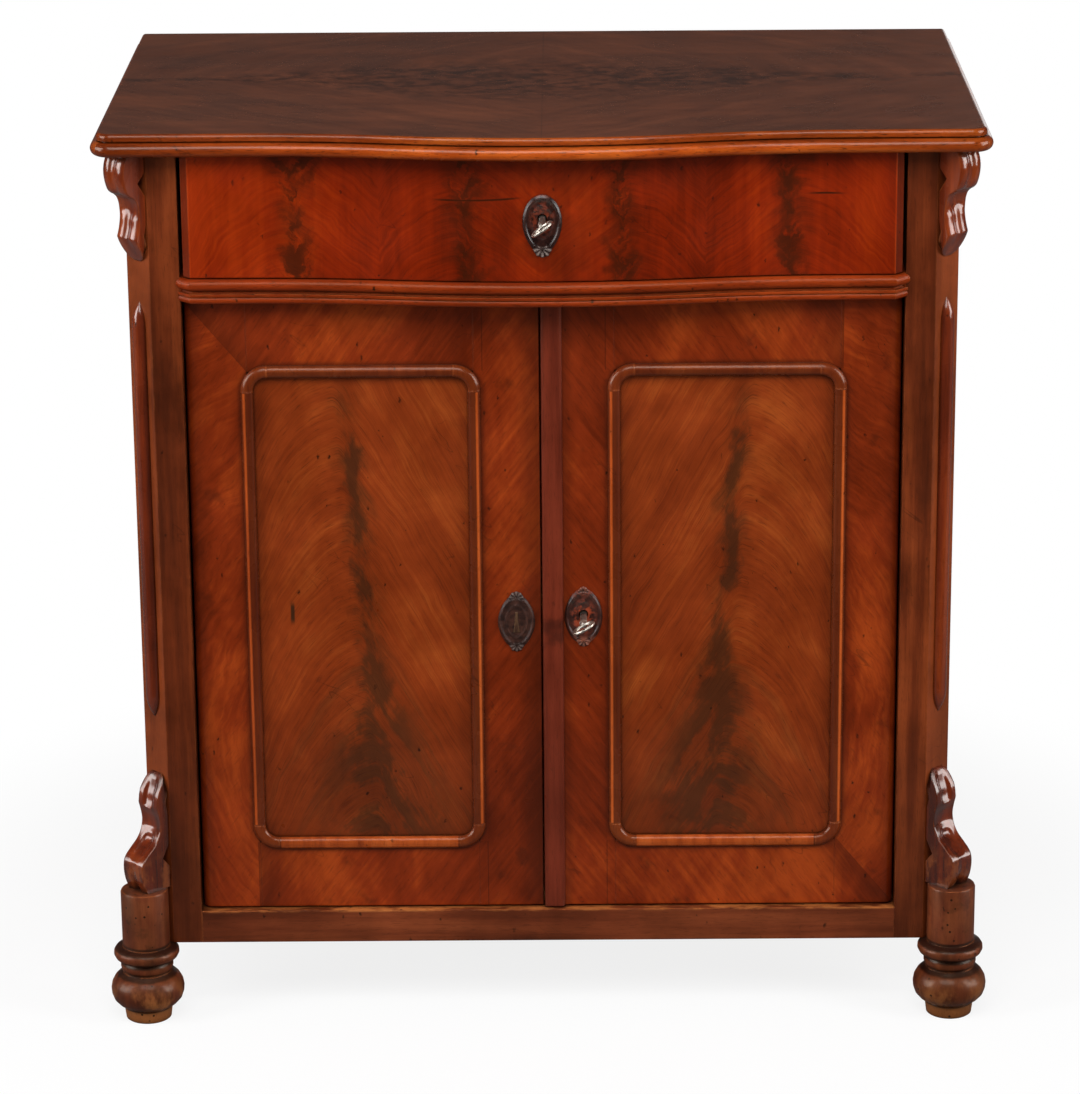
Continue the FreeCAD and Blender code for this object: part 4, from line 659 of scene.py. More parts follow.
def panelEdgeFigure(place, grain):
    look = panelEdgeFigureLook
    x, _, z = split(place)
    offX, offZ = gapTo(sizeOf(x), panelMiddle[0]), gapTo(z, panelMiddle[1])
    corner = times(above(offX, look["jointX"]), above(offZ, look["jointZ"]))
    joint = most(times(span(gapTo(offX, look["jointX"]), look["joint"], 0.0), above(offZ, look["pastZ"])),
                 times(span(gapTo(offZ, look["jointZ"]), look["joint"], 0.0), above(offX, look["pastX"])))
    upper = times(above(z, look["upper"]), look["upperDark"])
    # Painted shade on the bead's flanks leaves a light crest as a painted highlight; the lower level strips take
    # less of it (lit), painted as lit from above
    uprightFlankShade = times(span(gapTo(offX, look["crestX"]), *look["sideFlankShade"]), below(offZ, look["jointZ"]))
    level = times(span(gapTo(offZ, look["crestZ"]), *look["levelFlankShade"]), below(offX, look["jointX"]))
    level = times(level, span(z, *look["lit"]))
    dark = most(times(corner, look["cornerDark"]), joint, upper, times(most(uprightFlankShade, level), look["rimShade"]))
    return grain["Streak"], grain["Pores"], times(dark, look["strength"])


topWood = makeWood("topWood", topLook, topFigure)
edgeWood = makeWood("edgeWood", edgeLook, edgeFigure)
sideEdgeWood = makeWood("sideEdgeWood", sideEdgeLook, edgeFigure)
waistWood = makeWood("waistWood", waistLook)
postWood = makeWood("postWood", postLook, postFigure)
sideWood = makeWood("sideWood", postLook, sideFigure)
carvedWood = makeWood("carvedWood", carvedLook, carvedFigure)
footWood = makeWood("footWood", footLook, footFigure)
plinthWood = makeWood("plinthWood", plinthLook, plinthFigure)
astragalWood = makeWood("astragalWood", astragalLook, astragalFigure)
panelEdgeWood = makeWood("panelEdgeWood", panelEdgeLook, panelEdgeFigure)
drawerWood = makeWood("drawerWood", drawerLook, drawerFigure)
panelWoods = {side: makeWood("panelWood" + word.title(), panelLook, panelFigure(side)) for side, word in sides}
frameWoods = {side: makeWood("doorWood" + word.title(), frameLook, doorFigure(side)) for side, word in sides}
print("woods ready")


# Pine, iron, steel and horn

pineLook = {"pale": tint(202, 154, 98), "deep": tint(168, 114, 66), "knot": tint(92, 54, 28),
            "stain": tint(106, 74, 46), "knots": 0.8, "patina": (0.45, 0.8, 0.0, 0.55), "creviceDirtAndShade": 0.6, "marks": 0.7,
            "boards": (-0.178, 0.0, 0.178), "gap": 0.0016, "mix": (0.32, 0.68), "fibreRise": 0.6,
            "relief": (0.35, 0.0006), "rough": (0.68, 0.85)}


def makePine(name, turn, boards=False):
    look = pineLook
    material, place = newMaterial(name)
    turned = remap(place, turn=turn)
    grain = useGroup(grainGroup, {"Vector": turned})
    age = useGroup(ageGroup, {"Vector": place})
    wave = addNode(material.node_tree, "ShaderNodeTexWave", {"wave_type": "BANDS", "bands_direction": "X"}, {
        "Vector": remap(turned, (1, 1, 0.06)), "Scale": 8.0, "Distortion": 16.0, "Detail": 3.0,
        "Detail Scale": 1.2}).outputs["Fac"]
    rings = blend(*zip((wave, grain["Streak"]), look["mix"]))
    colour = blendTone(span(rings, 0.2, 0.85), look["pale"], look["deep"])
    knot = span(dotted(remap(turned, (1, 1, 0.4)), 7.0)["Distance"], 0.11, 0.04)
    colour = stain(colour, look["knot"], knot, look["knots"])
    colour = blendTone(span(age["Patina"], *look["patina"]), colour, look["stain"])
    # Crevices take the stain tone: partly dirt, partly painted shade
    colour = stain(colour, look["stain"], age["CreviceDirtAndShade"], look["creviceDirtAndShade"])
    marks = age["Specks"]
    if boards:
        x = split(place)[0]
        for seam in look["boards"]:
            marks = most(marks, span(gapTo(x, seam), look["gap"], 0.0))
    colour = stain(colour, look["knot"], marks, look["marks"])
    height = minus(times(grain["Fibre"], look["fibreRise"]), marks)
    return finishMaterial(material, "ShaderNodeBsdfPrincipled", {
        "Base Color": colour, "Roughness": span(grain["Streak"], 0.2, 0.8, *look["rough"]),
        "Normal": relief(height, *look["relief"], age["Soft"])})


def makeMetal(name, look):
    material, place = newMaterial(name)
    age = useGroup(ageGroup, {"Vector": place})
    blotch = cloud(place, look["scale"], 5, 0.65)
    rust = span(blotch, *look["rusted"])
    colour = blendTone(rust, look["metal"], look["rust"])
    # Crevices take the dark tone: partly dirt, partly painted shade
    colour = stain(colour, look["dirtAndShadeTone"], age["CreviceDirtAndShade"], look["creviceDirtAndShade"])
    colour = stain(colour, look["bright"], age["Wear"], look["wear"])
    return finishMaterial(material, "ShaderNodeBsdfPrincipled", {
        "Base Color": colour, "Roughness": span(blotch, 0.3, 0.7, *look["rough"]),
        "Metallic": span(rust, 0.0, 1.0, *look["metallic"]),
        "Normal": relief(cloud(place, 900), *look["relief"], age["Soft"])})


def makeHorn(name, look):
    material, place = newMaterial(name)
    age = useGroup(ageGroup, {"Vector": place})
    blotch = cloud(place, 160, 4, 0.6)
    colour = blendTone(span(blotch, 0.35, 0.65), look["deep"], look["pale"])
    x, _, z = split(remap(place, shift=(-look["centre"][0], 0, -look["centre"][1])))
    away = lengthOf(merge(x, 0.0, times(z, look["squash"])))
    rubbed = times(span(away, *look["rubReach"]), span(cloud(place, 210), 0.42, 0.6))
    chipped = times(span(z, *look["chipLevel"]), span(cloud(place, 260), 0.4, 0.56))
    crown = times(span(z, *look["topLevel"]), span(cloud(place, 240), 0.4, 0.55))
    # crest: a painted glint on the fan ribs, mixed in with the bright tone
    crest = addNode(material.node_tree, "ShaderNodeAttribute", {"attribute_name": "crest"}).outputs["Fac"]
    # Crevices take the dark tone as dirt and painted shade
    for mask, amount, tone in ((rubbed, "rubbed", "inner"), (chipped, "chipped", "worn"),
                               (crown, "topWorn", "inner"), (age["Wear"], "wear", "worn"),
                               (age["CreviceDirtAndShade"], "creviceDirtAndShade", "dirtAndShadeTone"), (crest, "glint", "bright")):
        colour = stain(colour, look[tone], mask, look[amount])
    return finishMaterial(material, "ShaderNodeBsdfPrincipled", {
        "Base Color": colour, "Roughness": span(blotch, 0.3, 0.7, look["rough"], look["rough"] + look["rougher"]),
        "Normal": relief(cloud(place, 700), *look["relief"], age["Soft"]), "Coat Weight": look["coat"],
        "Coat Roughness": look["coatRough"], "Specular IOR Level": look["shine"]})


pineUp = makePine("pineUpright", grainUp)
pineAcross = makePine("pineAcross", grainAcross)
pineDeep = makePine("pineFrontToBack", grainDeep)
pineBack = makePine("pineBackBoards", grainUp, True)
ironLook = {"metal": tint(96, 92, 88), "rust": tint(78, 50, 34), "dirtAndShadeTone": tint(28, 22, 18),
            "bright": tint(150, 146, 140), "scale": 90.0, "rusted": (0.46, 0.62), "rough": (0.38, 0.63),
            "metallic": (0.95, 0.45), "relief": (0.3, 0.0004), "creviceDirtAndShade": 0.7, "wear": 0.6}
steelLook = dict(ironLook, metal=tint(188, 180, 168), rust=tint(96, 70, 52), dirtAndShadeTone=tint(34, 26, 20),
                 bright=tint(226, 220, 210), scale=140.0, rusted=(0.64, 0.8), rough=(0.22, 0.47))
iron = makeMetal("darkIron", ironLook)
steel = makeMetal("keySteel", steelLook)
hornLook = {"deep": tint(26, 10, 7), "pale": tint(48, 20, 13), "worn": tint(150, 84, 62), "dirtAndShadeTone": tint(10, 5, 4),
            "inner": tint(120, 48, 26), "bright": tint(188, 168, 158), "centre": (0.0, 0.7795), "wear": 0.35,
            "creviceDirtAndShade": 0.8, "rubbed": 0.8, "rubReach": (0.0145, 0.006), "chipped": 0.0, "chipLevel": (-0.017, -0.023),
            "topWorn": 0.8, "topLevel": (0.018, 0.023), "squash": 0.7, "glint": 0.6, "rough": 0.22, "rougher": 0.18,
            "relief": (0.25, 0.0003), "coat": 0.1, "coatRough": 0.12, "shine": 0.35}
leftPlate = (-0.027, 0.389)
darkHorn = makeHorn("darkHorn", hornLook)
brownHorn = makeHorn("brownHorn", dict(
    hornLook, deep=tint(36, 17, 11), pale=tint(62, 31, 20), inner=tint(74, 40, 26), centre=leftPlate, rubbed=0.4,
    rough=0.4, coat=0.0, topWorn=0.0, glint=0.28))
redHorn = makeHorn("redHorn", dict(
    hornLook, deep=tint(34, 15, 10), pale=tint(70, 30, 19), inner=tint(158, 64, 34), bright=tint(190, 128, 104),
    centre=(0.035, 0.393), chipped=0.9, rough=0.3, topWorn=0.3, glint=0.5))
keyholeFill = makeHorn("keyholeFill", dict(
    hornLook, deep=tint(58, 34, 22), pale=tint(86, 58, 34), worn=tint(128, 96, 58), centre=leftPlate, rubbed=0.0,
    rough=0.4, coat=0.0, topWorn=0.0))
print("pine, metal and horn ready")


# Mesh helpers

meshLook = {"weld": 1e-6, "copyWeld": 1e-5, "copyShade": 32, "topFacing": 0.9, "topSkin": 0.0006}


def addObject(name, data):
    thing = bpy.data.objects.new(name, data)
    bpy.context.scene.collection.objects.link(thing)
    return thing


def setMaterial(thing, material):
    thing.data.materials.clear()
    thing.data.materials.append(material)
    for face in thing.data.polygons:
        face.material_index = 0


def shadeByAngle(mesh, degrees):
    work = bmesh.new()
    work.from_mesh(mesh)
    limit = math.radians(degrees)
    for face in work.faces:
        face.smooth = True
    for edge in work.edges:
        edge.smooth = len(edge.link_faces) == 2 and edge.calc_face_angle(0.0) < limit
    work.to_mesh(mesh)
    work.free()


def mend(mesh, source, gap, degrees):
    work = bmesh.new()
    work.from_mesh(source)
    bmesh.ops.remove_doubles(work, verts=work.verts, dist=gap)
    bmesh.ops.recalc_face_normals(work, faces=work.faces)
    work.to_mesh(mesh)
    work.free()
    shadeByAngle(mesh, degrees)


def newMesh(name, points, faces, degrees):
    mesh = bpy.data.meshes.new(name)
    mesh.from_pydata([tuple(point) for point in points], [], faces)
    mend(mesh, mesh, meshLook["weld"], degrees)
    return mesh


def makePiece(name, points, faces, material, body, degrees):
    thing = addObject(name, newMesh(name, points, faces, degrees))
    setMaterial(thing, material)
    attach(thing, body)
    return thing


def smoothCopy(node, name, material, body):
    mesh = bpy.data.meshes.new(name)
    mend(mesh, nodes[node].data, meshLook["copyWeld"], meshLook["copyShade"])
    thing = addObject(name, mesh)
    setMaterial(thing, material)
    if node.startswith("top_"):
        mesh.materials.append(topWood)
        skin = cadHigh.z - meshLook["topSkin"]
        for face in mesh.polygons:
            face.material_index = int(face.normal.z > meshLook["topFacing"] and face.center.z > skin)
    even = thing.modifiers.new("evenShading", "WEIGHTED_NORMAL")
    even.keep_sharp = True
    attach(thing, body)
    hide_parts(node)


def ringFaces(rows, count, start=0, closed=False):
    faces = []
    for row in range(rows if closed else rows - 1):
        here, there = start + row * count, start + (row + 1) % rows * count
        for step in range(count):
            follow = (step + 1) % count
            faces.append((here + step, here + follow, there + follow, there + step))
    return faces


def endFaces(rows, count, start=0):
    last = start + (rows - 1) * count
    return [tuple(range(start, start + count)), tuple(range(last, last + count))]


def turns(count, offset=0.0):
    return [circle * (step + offset) / count for step in range(count)]


def soften(share):
    return share * share * (3 - 2 * share)


def between(table, at):
    for (low, first), (high, second) in zip(table, table[1:]):
        if at <= high:
            share = (at - low) / (high - low) if high > low else 0
            return first + (second - first) * soften(share)
    return table[-1][1]


def curveThrough(points, steps):
    ends = [points[0]] + list(points) + [points[-1]]
    line = []
    for a, b, c, d in zip(ends, ends[1:], ends[2:], ends[3:]):
        for step in range(steps):
            t = step / steps
            line.append(tuple(0.5 * (2 * q + (r - p) * t + (2 * p - 5 * q + 4 * r - s) * t * t
                                     + (3 * q - p - 3 * r + s) * t ** 3) for p, q, r, s in zip(a, b, c, d)))
    return line + [tuple(points[-1])]


# Scroll brackets on the canted corners: a side outline as (reach, share of height) and cuts across the front

bracketLook = {
    "half": 0.014, "slices": 40, "steps": 6, "edge": 0.1, "edgeDrop": 0.0007, "thin": 0.001, "deepest": 0.8,
    "cleftHalf": 0.0032, "fluteHalf": 0.0092, "fluteLeast": 0.65, "fluteWall": 0.6,
    "back": [(0.0, 0.86), (0.003, 0.75), (0.0, 0.63), (0.0, 0.4), (0.0085, 0.27), (0.0, 0.18), (0.0, 0.0)],
}
upperBracketLook = dict(bracketLook, level=0.836, direction=-1, height=0.102, front=[
    (0.0215, 0.0), (0.0238, 0.04), (0.0255, 0.08), (0.0265, 0.12), (0.027, 0.165), (0.0266, 0.22), (0.0252, 0.28),
    (0.0225, 0.335), (0.019, 0.37), (0.0148, 0.395), (0.0112, 0.43), (0.0093, 0.5), (0.0095, 0.57), (0.0102, 0.63),
    (0.0113, 0.69), (0.0126, 0.735), (0.0137, 0.765)], chamfer=[
    (0.0136, 0.778), (0.0106, 0.825), (0.0075, 0.875), (0.0052, 0.915), (0.0034, 0.948), (0.002, 0.975),
    (0.0, 1.0)], cuts={
        "scoop": (0.003, [(0.0, 0.0), (0.36, 0.0), (0.42, 1.0), (0.52, 0.8), (0.62, 0.0), (1.0, 0.0)]),
        "lobe": (0.0023, [(0.0, 1.0), (0.26, 1.0), (0.37, 0.5), (0.42, 0.15), (0.5, 0.3), (0.62, 1.0), (0.765, 1.0),
                          (0.8, 0.4), (0.85, 0.0), (1.0, 0.0)])},
    taper=[(0.0, 1.0), (0.86, 1.0), (0.91, 0.94), (0.95, 0.82), (0.978, 0.62), (1.0, 0.3)])
lowerBracketLook = dict(bracketLook, level=0.13, direction=1, height=0.112, front=[
    (0.0285, 0.0), (0.0322, 0.08), (0.034, 0.17), (0.0335, 0.25), (0.0305, 0.3), (0.0245, 0.35), (0.0168, 0.41),
    (0.0118, 0.48), (0.0098, 0.56), (0.0105, 0.63), (0.0128, 0.715)], chamfer=[
    (0.0132, 0.73), (0.0124, 0.79), (0.0108, 0.845), (0.0077, 0.895), (0.0048, 0.938), (0.0025, 0.975),
    (0.0, 1.0)], cuts={
        "scoop": (0.0022, [(0.0, 0.0), (0.46, 0.0), (0.53, 1.0), (0.62, 0.7), (0.7, 0.0), (1.0, 0.0)]),
        "cleft": (0.0042, [(0.0, 1.0), (0.1, 0.5), (0.2, 0.22), (0.27, 0.0), (1.0, 0.0)]),
        "flute": (0.003, [(0.0, 0.0), (0.27, 0.0), (0.32, 0.9), (0.42, 1.0), (0.5, 0.0), (0.7, 0.0), (0.74, 1.0),
                          (0.88, 1.0), (0.95, 0.0), (1.0, 0.0)])},
    taper=[(0.0, 1.0), (0.86, 1.0), (0.92, 0.94), (0.96, 0.82), (1.0, 0.5)])
cantMiddle = Vector((0.365, -0.1705, 0.0))
cantOut = Vector((1, -1, 0)).normalized()
cantAlong = Vector((1, 1, 0)).normalized()


def cutForm(kind, look, across, cut):
    off = abs(across) / look["half"]
    if kind == "scoop":
        return 1 - off ** 2
    if kind == "cleft":
        return math.exp(-(across / look["cleftHalf"]) ** 2)
    if kind == "lobe":
        return 0.5 + 0.5 * math.cos(circle * off) if off < 0.5 else (2 * off - 1) ** 2
    reach = look["fluteHalf"] * (look["fluteLeast"] + (1 - look["fluteLeast"]) * cut)
    return soften(min(1.0, max(0.0, (1.0 - abs(across) / reach) / look["fluteWall"])))


def carvedDepth(look, across, share):
    depth = 0.0
    for kind, (limit, table) in look["cuts"].items():
        cut = between(table, share)
        depth += limit * cut * cutForm(kind, look, across, cut)
    return depth


def makeBracket(name, look, side, node):
    line = curveThrough(look["front"], look["steps"]) + look["chamfer"] + look["back"]
    carved = len(line) - len(look["back"]) - 1
    slices, half = look["slices"], look["half"]
    points = []
    for index in range(slices + 1):
        across = half * math.sin(math.pi * (index / slices - 0.5))
        edge = max(0.0, (abs(across) - half * (1 - look["edge"])) / (half * look["edge"]))
        for count, (reach, share) in enumerate(line):
            lift = 0.0
            if count < carved and reach > look["thin"]:
                cut = min(carvedDepth(look, across, share), reach * look["deepest"])
                lift = -look["edgeDrop"] * edge ** 2 - cut
            spot = cantMiddle + cantAlong * across * between(look["taper"], share) + cantOut * (reach + lift)
            points.append((spot.x * side, spot.y, look["level"] + look["direction"] * look["height"] * share))
    faces = ringFaces(slices + 1, len(line)) + endFaces(slices + 1, len(line))
    thing = makePiece(name, points, faces, carvedWood, "case", 28)
    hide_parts(node)


for side, word in sides:
    makeBracket("upperBracket." + word, upperBracketLook, side, "upper_bracket_" + word)
    makeBracket("lowerBracket." + word, lowerBracketLook, side, "lower_bracket_" + word)
print("brackets carved")


# Turned front feet, with a flat against the post above the last ring

footShape = {
    "axis": (0.37985, -0.18535), "turns": 72, "flat": 0.021, "flatFrom": 0.0725,
    "profile": [
        (0.0, 0.0), (0.0205, 0.0), (0.0214, 0.0007), (0.0229, 0.0122), (0.0226, 0.013), (0.0236, 0.0136),
        (0.0284, 0.0163), (0.0322, 0.0207), (0.0341, 0.0262), (0.0345, 0.0310), (0.0335, 0.0365), (0.0308, 0.0415),
        (0.0272, 0.0450), (0.0252, 0.0461), (0.0246, 0.0470), (0.0231, 0.0478), (0.0229, 0.0490), (0.0238, 0.0502),
        (0.0247, 0.0530), (0.0247, 0.0558), (0.0238, 0.0582), (0.0231, 0.0590), (0.0236, 0.0597), (0.0262, 0.0604),
        (0.0292, 0.0624), (0.0308, 0.0656), (0.0306, 0.0688), (0.0290, 0.0714), (0.0262, 0.0727), (0.0236, 0.0730),
        (0.0225, 0.0738), (0.0224, 0.0750), (0.0224, 0.1280), (0.0216, 0.1298), (0.0205, 0.1300), (0.0, 0.1300)],
}


def makeFoot(side, word):
    look = footShape
    points = []
    for radius, level in look["profile"]:
        for angle in turns(look["turns"]):
            spot = Vector((math.cos(angle) * radius, math.sin(angle) * radius, level))
            inward = -spot.dot(cantOut)
            if level > look["flatFrom"] and inward > look["flat"]:
                spot += cantOut * (inward - look["flat"])
            points.append(((spot.x + look["axis"][0]) * side, spot.y + look["axis"][1], spot.z))
    faces = ringFaces(len(look["profile"]), look["turns"])
    thing = makePiece("frontFoot." + word, points, faces, footWood, "case", 36)
    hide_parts("front_foot_" + word)


for side, word in sides:
    makeFoot(side, word)
print("feet turned")


# Escutcheons: oval dish with two beads, ribbed fans at the ends, and a keyhole. Heights are in mm

plateLook = {"turns": 200, "rings": 44, "rim": (0.88, 0.06, 1.2), "ring": (0.58, 0.05, 0.6), "ground": 1.1,
             "ribs": 4.6, "rib": 1.3, "ribSharp": 5, "ribStart": 0.5, "ribFade": 0.2,
             "fanFade": 0.15, "scallop": 0.07, "fanSeat": 0.62, "fanBack": -0.25,
             "fanEdge": 1.1, "fanGround": 1.0, "far": 9.0, "widest": 0.06, "hole": 0.0042, "slotHalf": 0.0023,
             "slot": 0.0105, "closed": 0.0002, "skirt": (0.9, 0.55, 0.0)}
plates = {
    "drawerEscutcheon": {
        "node": "drawer_escutcheon", "body": "drawer", "x": 0.0, "face": -0.2085, "middle": 0.7765, "key": 0.780,
        "half": (0.0176, 0.0252, 0.0292), "fans": (0.0, 0.0082), "sharp": (2.0, 1.75), "horn": darkHorn},
    "leftEscutcheon": {
        "node": "left_door_escutcheon", "body": "left_door", "x": -0.027, "face": -0.173, "middle": 0.389,
        "key": 0.391, "half": (0.0172, 0.0268, 0.0268), "fans": (0.0066, 0.0066), "sharp": (1.75, 1.75),
        "horn": brownHorn},
    "rightEscutcheon": {
        "node": "right_door_escutcheon", "body": "right_door", "x": 0.035, "face": -0.173, "middle": 0.3935,
        "key": 0.396, "half": (0.0176, 0.0275, 0.0268), "fans": (0.0045, 0.0066), "sharp": (1.8, 1.85),
        "horn": redHorn},
}
wedgeLook = {"outline": [(-0.0014, 0.0095), (0.0014, 0.0095), (0.0016, 0.0), (0.0031, -0.0105), (-0.0031, -0.0105),
                         (-0.0016, 0.0)], "levels": [(1.0, 0.0003), (1.0, 0.0014), (0.75, 0.0017)]}


def ovalShare(plate, px, pz):
    wide, top, bottom = plate["half"]
    power = plate["sharp"][0 if pz > 0 else 1]
    return (abs(px / wide) ** power + abs(pz / (top if pz > 0 else bottom)) ** power) ** (1 / power)


def fanShare(plate, px, pz):
    look = plateLook
    size = plate["fans"][0 if pz > 0 else 1]
    if size <= 0:
        return look["far"], 0.0
    up = abs(pz) - plate["half"][1 if pz > 0 else 2] + size * look["fanSeat"]
    angle = math.atan2(px, up)
    scallop = 1 - look["scallop"] + look["scallop"] * abs(math.cos(angle * look["ribs"]))
    return math.hypot(px, up) / (size * scallop) if up > look["fanBack"] * size else look["far"], angle


def fanCrest(plate, px, pz):
    look = plateLook
    fan, angle = fanShare(plate, px, pz)
    if fan > look["fanEdge"]:
        return 0.0
    rib = abs(math.cos(angle * look["ribs"])) ** look["ribSharp"]
    return rib * min(1.0, fan / look["ribStart"]) * min(1.0, max(0.0, (look["fanEdge"] - fan) / look["ribFade"]))


def plateHeight(plate, px, pz):
    look = plateLook
    share = ovalShare(plate, px, pz)
    height = look["ground"]
    for at, width, rise in (look["rim"], look["ring"]):
        height += rise * math.exp(-((share - at) / width) ** 2)
    fan, _ = fanShare(plate, px, pz)
    if fan < look["fanEdge"]:
        fade = min(1.0, (look["fanEdge"] - fan) / look["fanFade"])
        height += fade * (look["fanGround"] + look["rib"] * fanCrest(plate, px, pz) - height)
    return height / 1000


def plateReach(plate, dx, dz, rise):
    low, high = 0.0, plateLook["widest"]
    for _ in range(40):
        middle = (low + high) / 2
        px, pz = dx * middle, rise + dz * middle
        inside = ovalShare(plate, px, pz) < 1.0 or fanShare(plate, px, pz)[0] < 1.0
        low, high = (middle, high) if inside else (low, middle)
    return low


def holeReach(dx, dz):
    reach = plateLook["hole"]
    if dz < 0:
        toSide = plateLook["slotHalf"] / abs(dx) if abs(dx) > 1e-9 else 1.0
        reach = max(reach, min(toSide, plateLook["slot"] / -dz))
    return reach


def makeEscutcheon(name, plate):
    look = plateLook
    rings = look["rings"]
    rise = plate["key"] - plate["middle"]
    pierced = plate["horn"] is not brownHorn
    points = []
    for row in range(rings + 3):
        share = max(0.0, (row - 1) / rings) if row <= rings else 1.0
        for angle in turns(look["turns"], 0.5):
            dx, dz = math.cos(angle), math.sin(angle)
            inner = holeReach(dx, dz) if pierced else look["closed"]
            reach = inner + (plateReach(plate, dx, dz, rise) - inner) * share
            px, pz = dx * reach, rise + dz * reach
            height = plateHeight(plate, px, pz)
            if row == 0 and pierced:
                height = look["closed"]
            elif row >= rings:
                height *= look["skirt"][row - rings]
            points.append((plate["x"] + px, plate["face"] - height, plate["middle"] + pz))
    faces = ringFaces(rings + 3, look["turns"])
    if not pierced:
        faces.append(tuple(range(look["turns"])))
    thing = makePiece(name, points, faces, plate["horn"], plate["body"], 60)
    # The crest attribute marks the fan ribs for a painted glint in the horn material
    crests = thing.data.attributes.new("crest", "FLOAT", "POINT")
    for index, vertex in enumerate(thing.data.vertices):
        crests.data[index].value = fanCrest(plate, vertex.co.x - plate["x"], vertex.co.z - plate["middle"])
    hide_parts(plate["node"])


def makeWedge(plate):
    rim, levels = wedgeLook["outline"], wedgeLook["levels"]
    points = [(plate["x"] + px * share, plate["face"] - lift, plate["middle"] + pz * share)
              for share, lift in levels for px, pz in rim]
    faces = ringFaces(len(levels), len(rim)) + endFaces(len(levels), len(rim))
    makePiece("leftKeyholeWedge", points, faces, keyholeFill, plate["body"], 30)


for name, plate in plates.items():
    makeEscutcheon(name, plate)
makeWedge(plates["leftEscutcheon"])
print("escutcheons shaped")


# Keys: an oval bow, a collar, a shank and a bit

keyLook = {"radius": 0.0032, "bowHalf": 0.0115, "bowLength": 0.019, "rim": 0.004, "thick": 0.0032, "collar": 0.0039,
           "reach": 0.05, "bitReach": 0.0102, "bitThick": 0.0024, "bitLength": 0.009, "bitRound": 0.0004,
           "bitRoot": 0.001, "ward": (0.0034, 0.0046, 0.0024), "neck": 0.0015, "tip": 0.001, "bowTurns": 56,
           "rimTurns": 14, "shankTurns": 28}


def makeKey(name, plate, tilt, body, node):
    look = keyLook
    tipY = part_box(node)[1].y
    bowY = plate["face"] - look["reach"] + look["bowLength"] / 2
    points, faces = [], []

    def tube(rows, closed):
        start, count, size = len(points), len(rows), len(rows[0])
        for row in rows:
            points.extend(row)
        faces.extend(ringFaces(count, size, start, closed))
        if not closed:
            faces.extend(endFaces(count, size, start))

    rows = []
    for angle in turns(look["bowTurns"]):
        heading = Vector((math.cos(angle) * (look["bowHalf"] - look["rim"] / 2),
                          math.sin(angle) * (look["bowLength"] - look["rim"]) / 2, 0))
        out = Vector((math.cos(angle), math.sin(angle), 0)).normalized()
        rows.append([Vector((0, bowY, 0)) + heading + out * math.cos(t) * look["rim"] / 2
                     + Vector((0, 0, math.sin(t) * look["thick"] / 2)) for t in turns(look["rimTurns"])])
    tube(rows, True)
    neckY = bowY + look["bowLength"] / 2 - look["rim"] / 2
    collarY = neckY + look["rim"]
    r, c = look["radius"], look["collar"]
    profile = [(r * 0.7, neckY), (r, neckY + look["neck"])]
    profile += [(radius, collarY + along) for radius, along in (
        (r, -0.0006), (c * 0.85, 0.0), (c, 0.0007), (c, 0.0013), (c * 0.85, 0.0019), (r * 1.02, 0.0023),
        (c * 0.9, 0.0028), (r, 0.0034), (r * 0.92, 0.006))]
    profile += [(r * 0.92, tipY - look["tip"]), (r * 0.7, tipY)]
    tube([[Vector((math.cos(t) * radius, y, math.sin(t) * radius)) for t in turns(look["shankTurns"])]
          for radius, y in profile], False)
    half, reach, root, soft = look["bitThick"] / 2, look["bitReach"], look["bitRoot"], look["bitRound"]
    low, high = tipY - look["bitLength"], tipY - soft
    wardLow, wardHigh, wardDeep = look["ward"]
    outline = [(root, low), (reach - soft, low), (reach, low + soft), (reach, low + wardLow),
               (reach - wardDeep, low + wardLow), (reach - wardDeep, low + wardHigh), (reach, low + wardHigh),
               (reach, high - soft), (reach - soft, high), (root, high)]
    tube([[Vector((px, py, level)) for px, py in outline] for level in (-half, half)], False)
    turn = Matrix.Rotation(math.radians(180 - tilt), 4, "Y")
    placed = [turn @ point + Vector((plate["x"], 0, plate["key"])) for point in points]
    thing = makePiece(name, placed, faces, steel, body, 42)
    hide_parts(node)


makeKey("drawerKey", plates["drawerEscutcheon"], 37, "drawer_key", "drawer_key")
makeKey("rightDoorKey", plates["rightEscutcheon"], 29, "right_key", "right_door_key")
print("keys made")


# Smoothed copies of the moulded CAD pieces

for node, name, material, body, slot in (
        ("top_front_moulding", "topFrontMoulding", edgeWood, "case", "moulding_mahogany"),
        ("top_side_mouldings", "topSideMouldings", sideEdgeWood, "case", "moulding_mahogany"),
        ("waist_moulding", "waistMoulding", waistWood, "case", "moulding_mahogany"),
        ("corner_batons", "cornerBatons", carvedWood, "case", "carved_mahogany"),
        ("drawer_front", "drawerFront", drawerWood, "drawer", "drawer_veneer"),
        ("left_door_panel_moulding", "leftPanelMoulding", panelEdgeWood, "left_door", "moulding_mahogany"),
        ("right_door_panel_moulding", "rightPanelMoulding", panelEdgeWood, "right_door", "moulding_mahogany"),
        ("right_door_astragal", "meetingStrip", astragalWood, "right_door", "moulding_mahogany")):
    smoothCopy(node, name, material, body)
print("mouldings smoothed")


# Screws and nails, placed by one geometry tree

fastenerLook = {
    "turns": 24, "dome": ((1.0, 0.0), (1.0, 0.35), (0.8, 0.8), (0.4, 1.0)), "slotHalf": 0.16, "slotFloor": 0.45,
    "shade": 40, "screwRadius": 0.0034, "screwHeight": 0.0016, "nailRadius": 0.0026, "nailHeight": 0.001, "seed": 7,
    "nailEnds": 0.34, "nailPair": 0.016, "nailInset": 0.02, "shelfLevel": 0.387,
}


